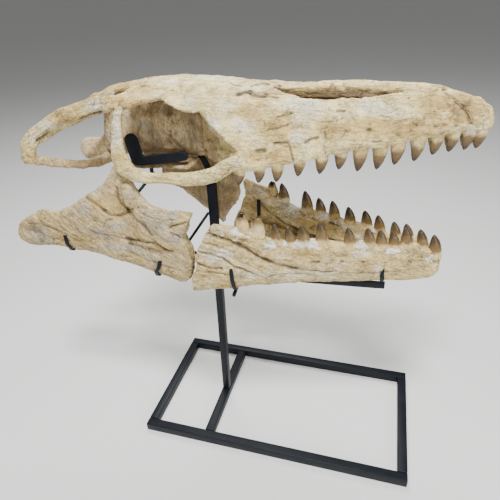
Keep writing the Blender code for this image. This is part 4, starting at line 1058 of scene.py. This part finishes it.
# %% Stand pieces
BEVELLED = {"stand_base": 2.0, "stand_post": 1.6, "stand_skull_cradle": 0.9, "stand_claw": 0.7}
FLATNESS, CORNER, SHARP = math.radians(2), math.radians(35), math.radians(50)
ROD_VOXEL, ROD_ROUNDS = 0.75, 6


def flatten(form):
    """Join the triangles of flat faces."""
    bmesh.ops.dissolve_limit(form, angle_limit=FLATNESS, verts=form.verts, edges=form.edges)


def bevelled(name, node, width):
    """A copy of flat or square stock with its corners rounded."""
    made = linked(name, NODES[node].data.copy())
    edit_mesh(made.data, weld)
    edit_mesh(made.data, flatten)
    bevel = made.modifiers.new("corner", "BEVEL")
    bevel.width = width * MM
    bevel.segments = 3
    bevel.limit_method = "ANGLE"
    bevel.angle_limit = CORNER
    return baked(made)


def rounded(name, node):
    """A skin over a rod, with its bends smoothed."""
    made = skin_of(name, node, ROD_VOXEL)
    place(made, averaged(made, places(made), ROD_ROUNDS))
    return made


for node in sorted(STEEL_NODES):
    width = next((w for start, w in BEVELLED.items() if node.startswith(start)), 0)
    name = node.replace("stand_", "steel_")
    piece = bevelled(name, node, width) if width else rounded(name, node)
    piece.data.materials.clear()
    piece.data.materials.append(STEEL)
    piece.data.shade_smooth()
    piece.data.set_sharp_from_angle(angle=SHARP)
    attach(piece, "root")
    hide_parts(node)
print(len(STEEL_NODES), "steel pieces")

# %% [markdown]
# ## Floor and light
# A pale floor runs out to the horizon.  The key light comes from above and in front of the
# right side, and is small enough to model the grain.  One fill opens the snout's front and
# a faint one the undersides, a light from behind brightens the roof, and the sky keeps the
# shadows open.

# %% Floor and light
FLOOR_SIZE, FLOOR_COLOR, SKY_STRENGTH = 80, (0.78, 0.78, 0.77, 1), 0.22
SKULL_MIDDLE = (0.05, 0, 0.6)
LIGHTS = [
    # name, place, size, watts
    ("key", (0.25, -1.0, 2.65), 0.5, 104),
    ("front_fill", (1.8, -1.3, 1.1), 1.0, 20),
    ("low_fill", (0.8, -2.0, 0.75), 0.8, 4),
    ("back_rim", (-0.4, 1.2, 2.4), 1.1, 50),
]


def area_light(name, spot, size, power):
    """A square light aimed at the skull."""
    light = bpy.data.lights.new(name, "AREA")
    light.size = size
    light.energy = power
    made = linked(name, light)
    made.location = spot
    made.rotation_euler = (Vector(SKULL_MIDDLE) - Vector(spot)).to_track_quat("-Z", "Y").to_euler()


bpy.ops.mesh.primitive_plane_add(size=FLOOR_SIZE)
made = bpy.context.object
made.name = "floor"
material, shader, w = new_material("studio_floor")
w.fill(shader, {"Base Color": FLOOR_COLOR, "Roughness": 0.9})
made.data.materials.append(material)
for row in LIGHTS:
    area_light(*row)
world = bpy.data.worlds.new("studio")
bpy.context.scene.world = world
world.use_nodes = True
sky = world.node_tree.nodes["Background"].inputs
sky["Color"].default_value = (1, 1, 1, 1)
sky["Strength"].default_value = SKY_STRENGTH
print("floor,", len(LIGHTS), "lights and a sky")
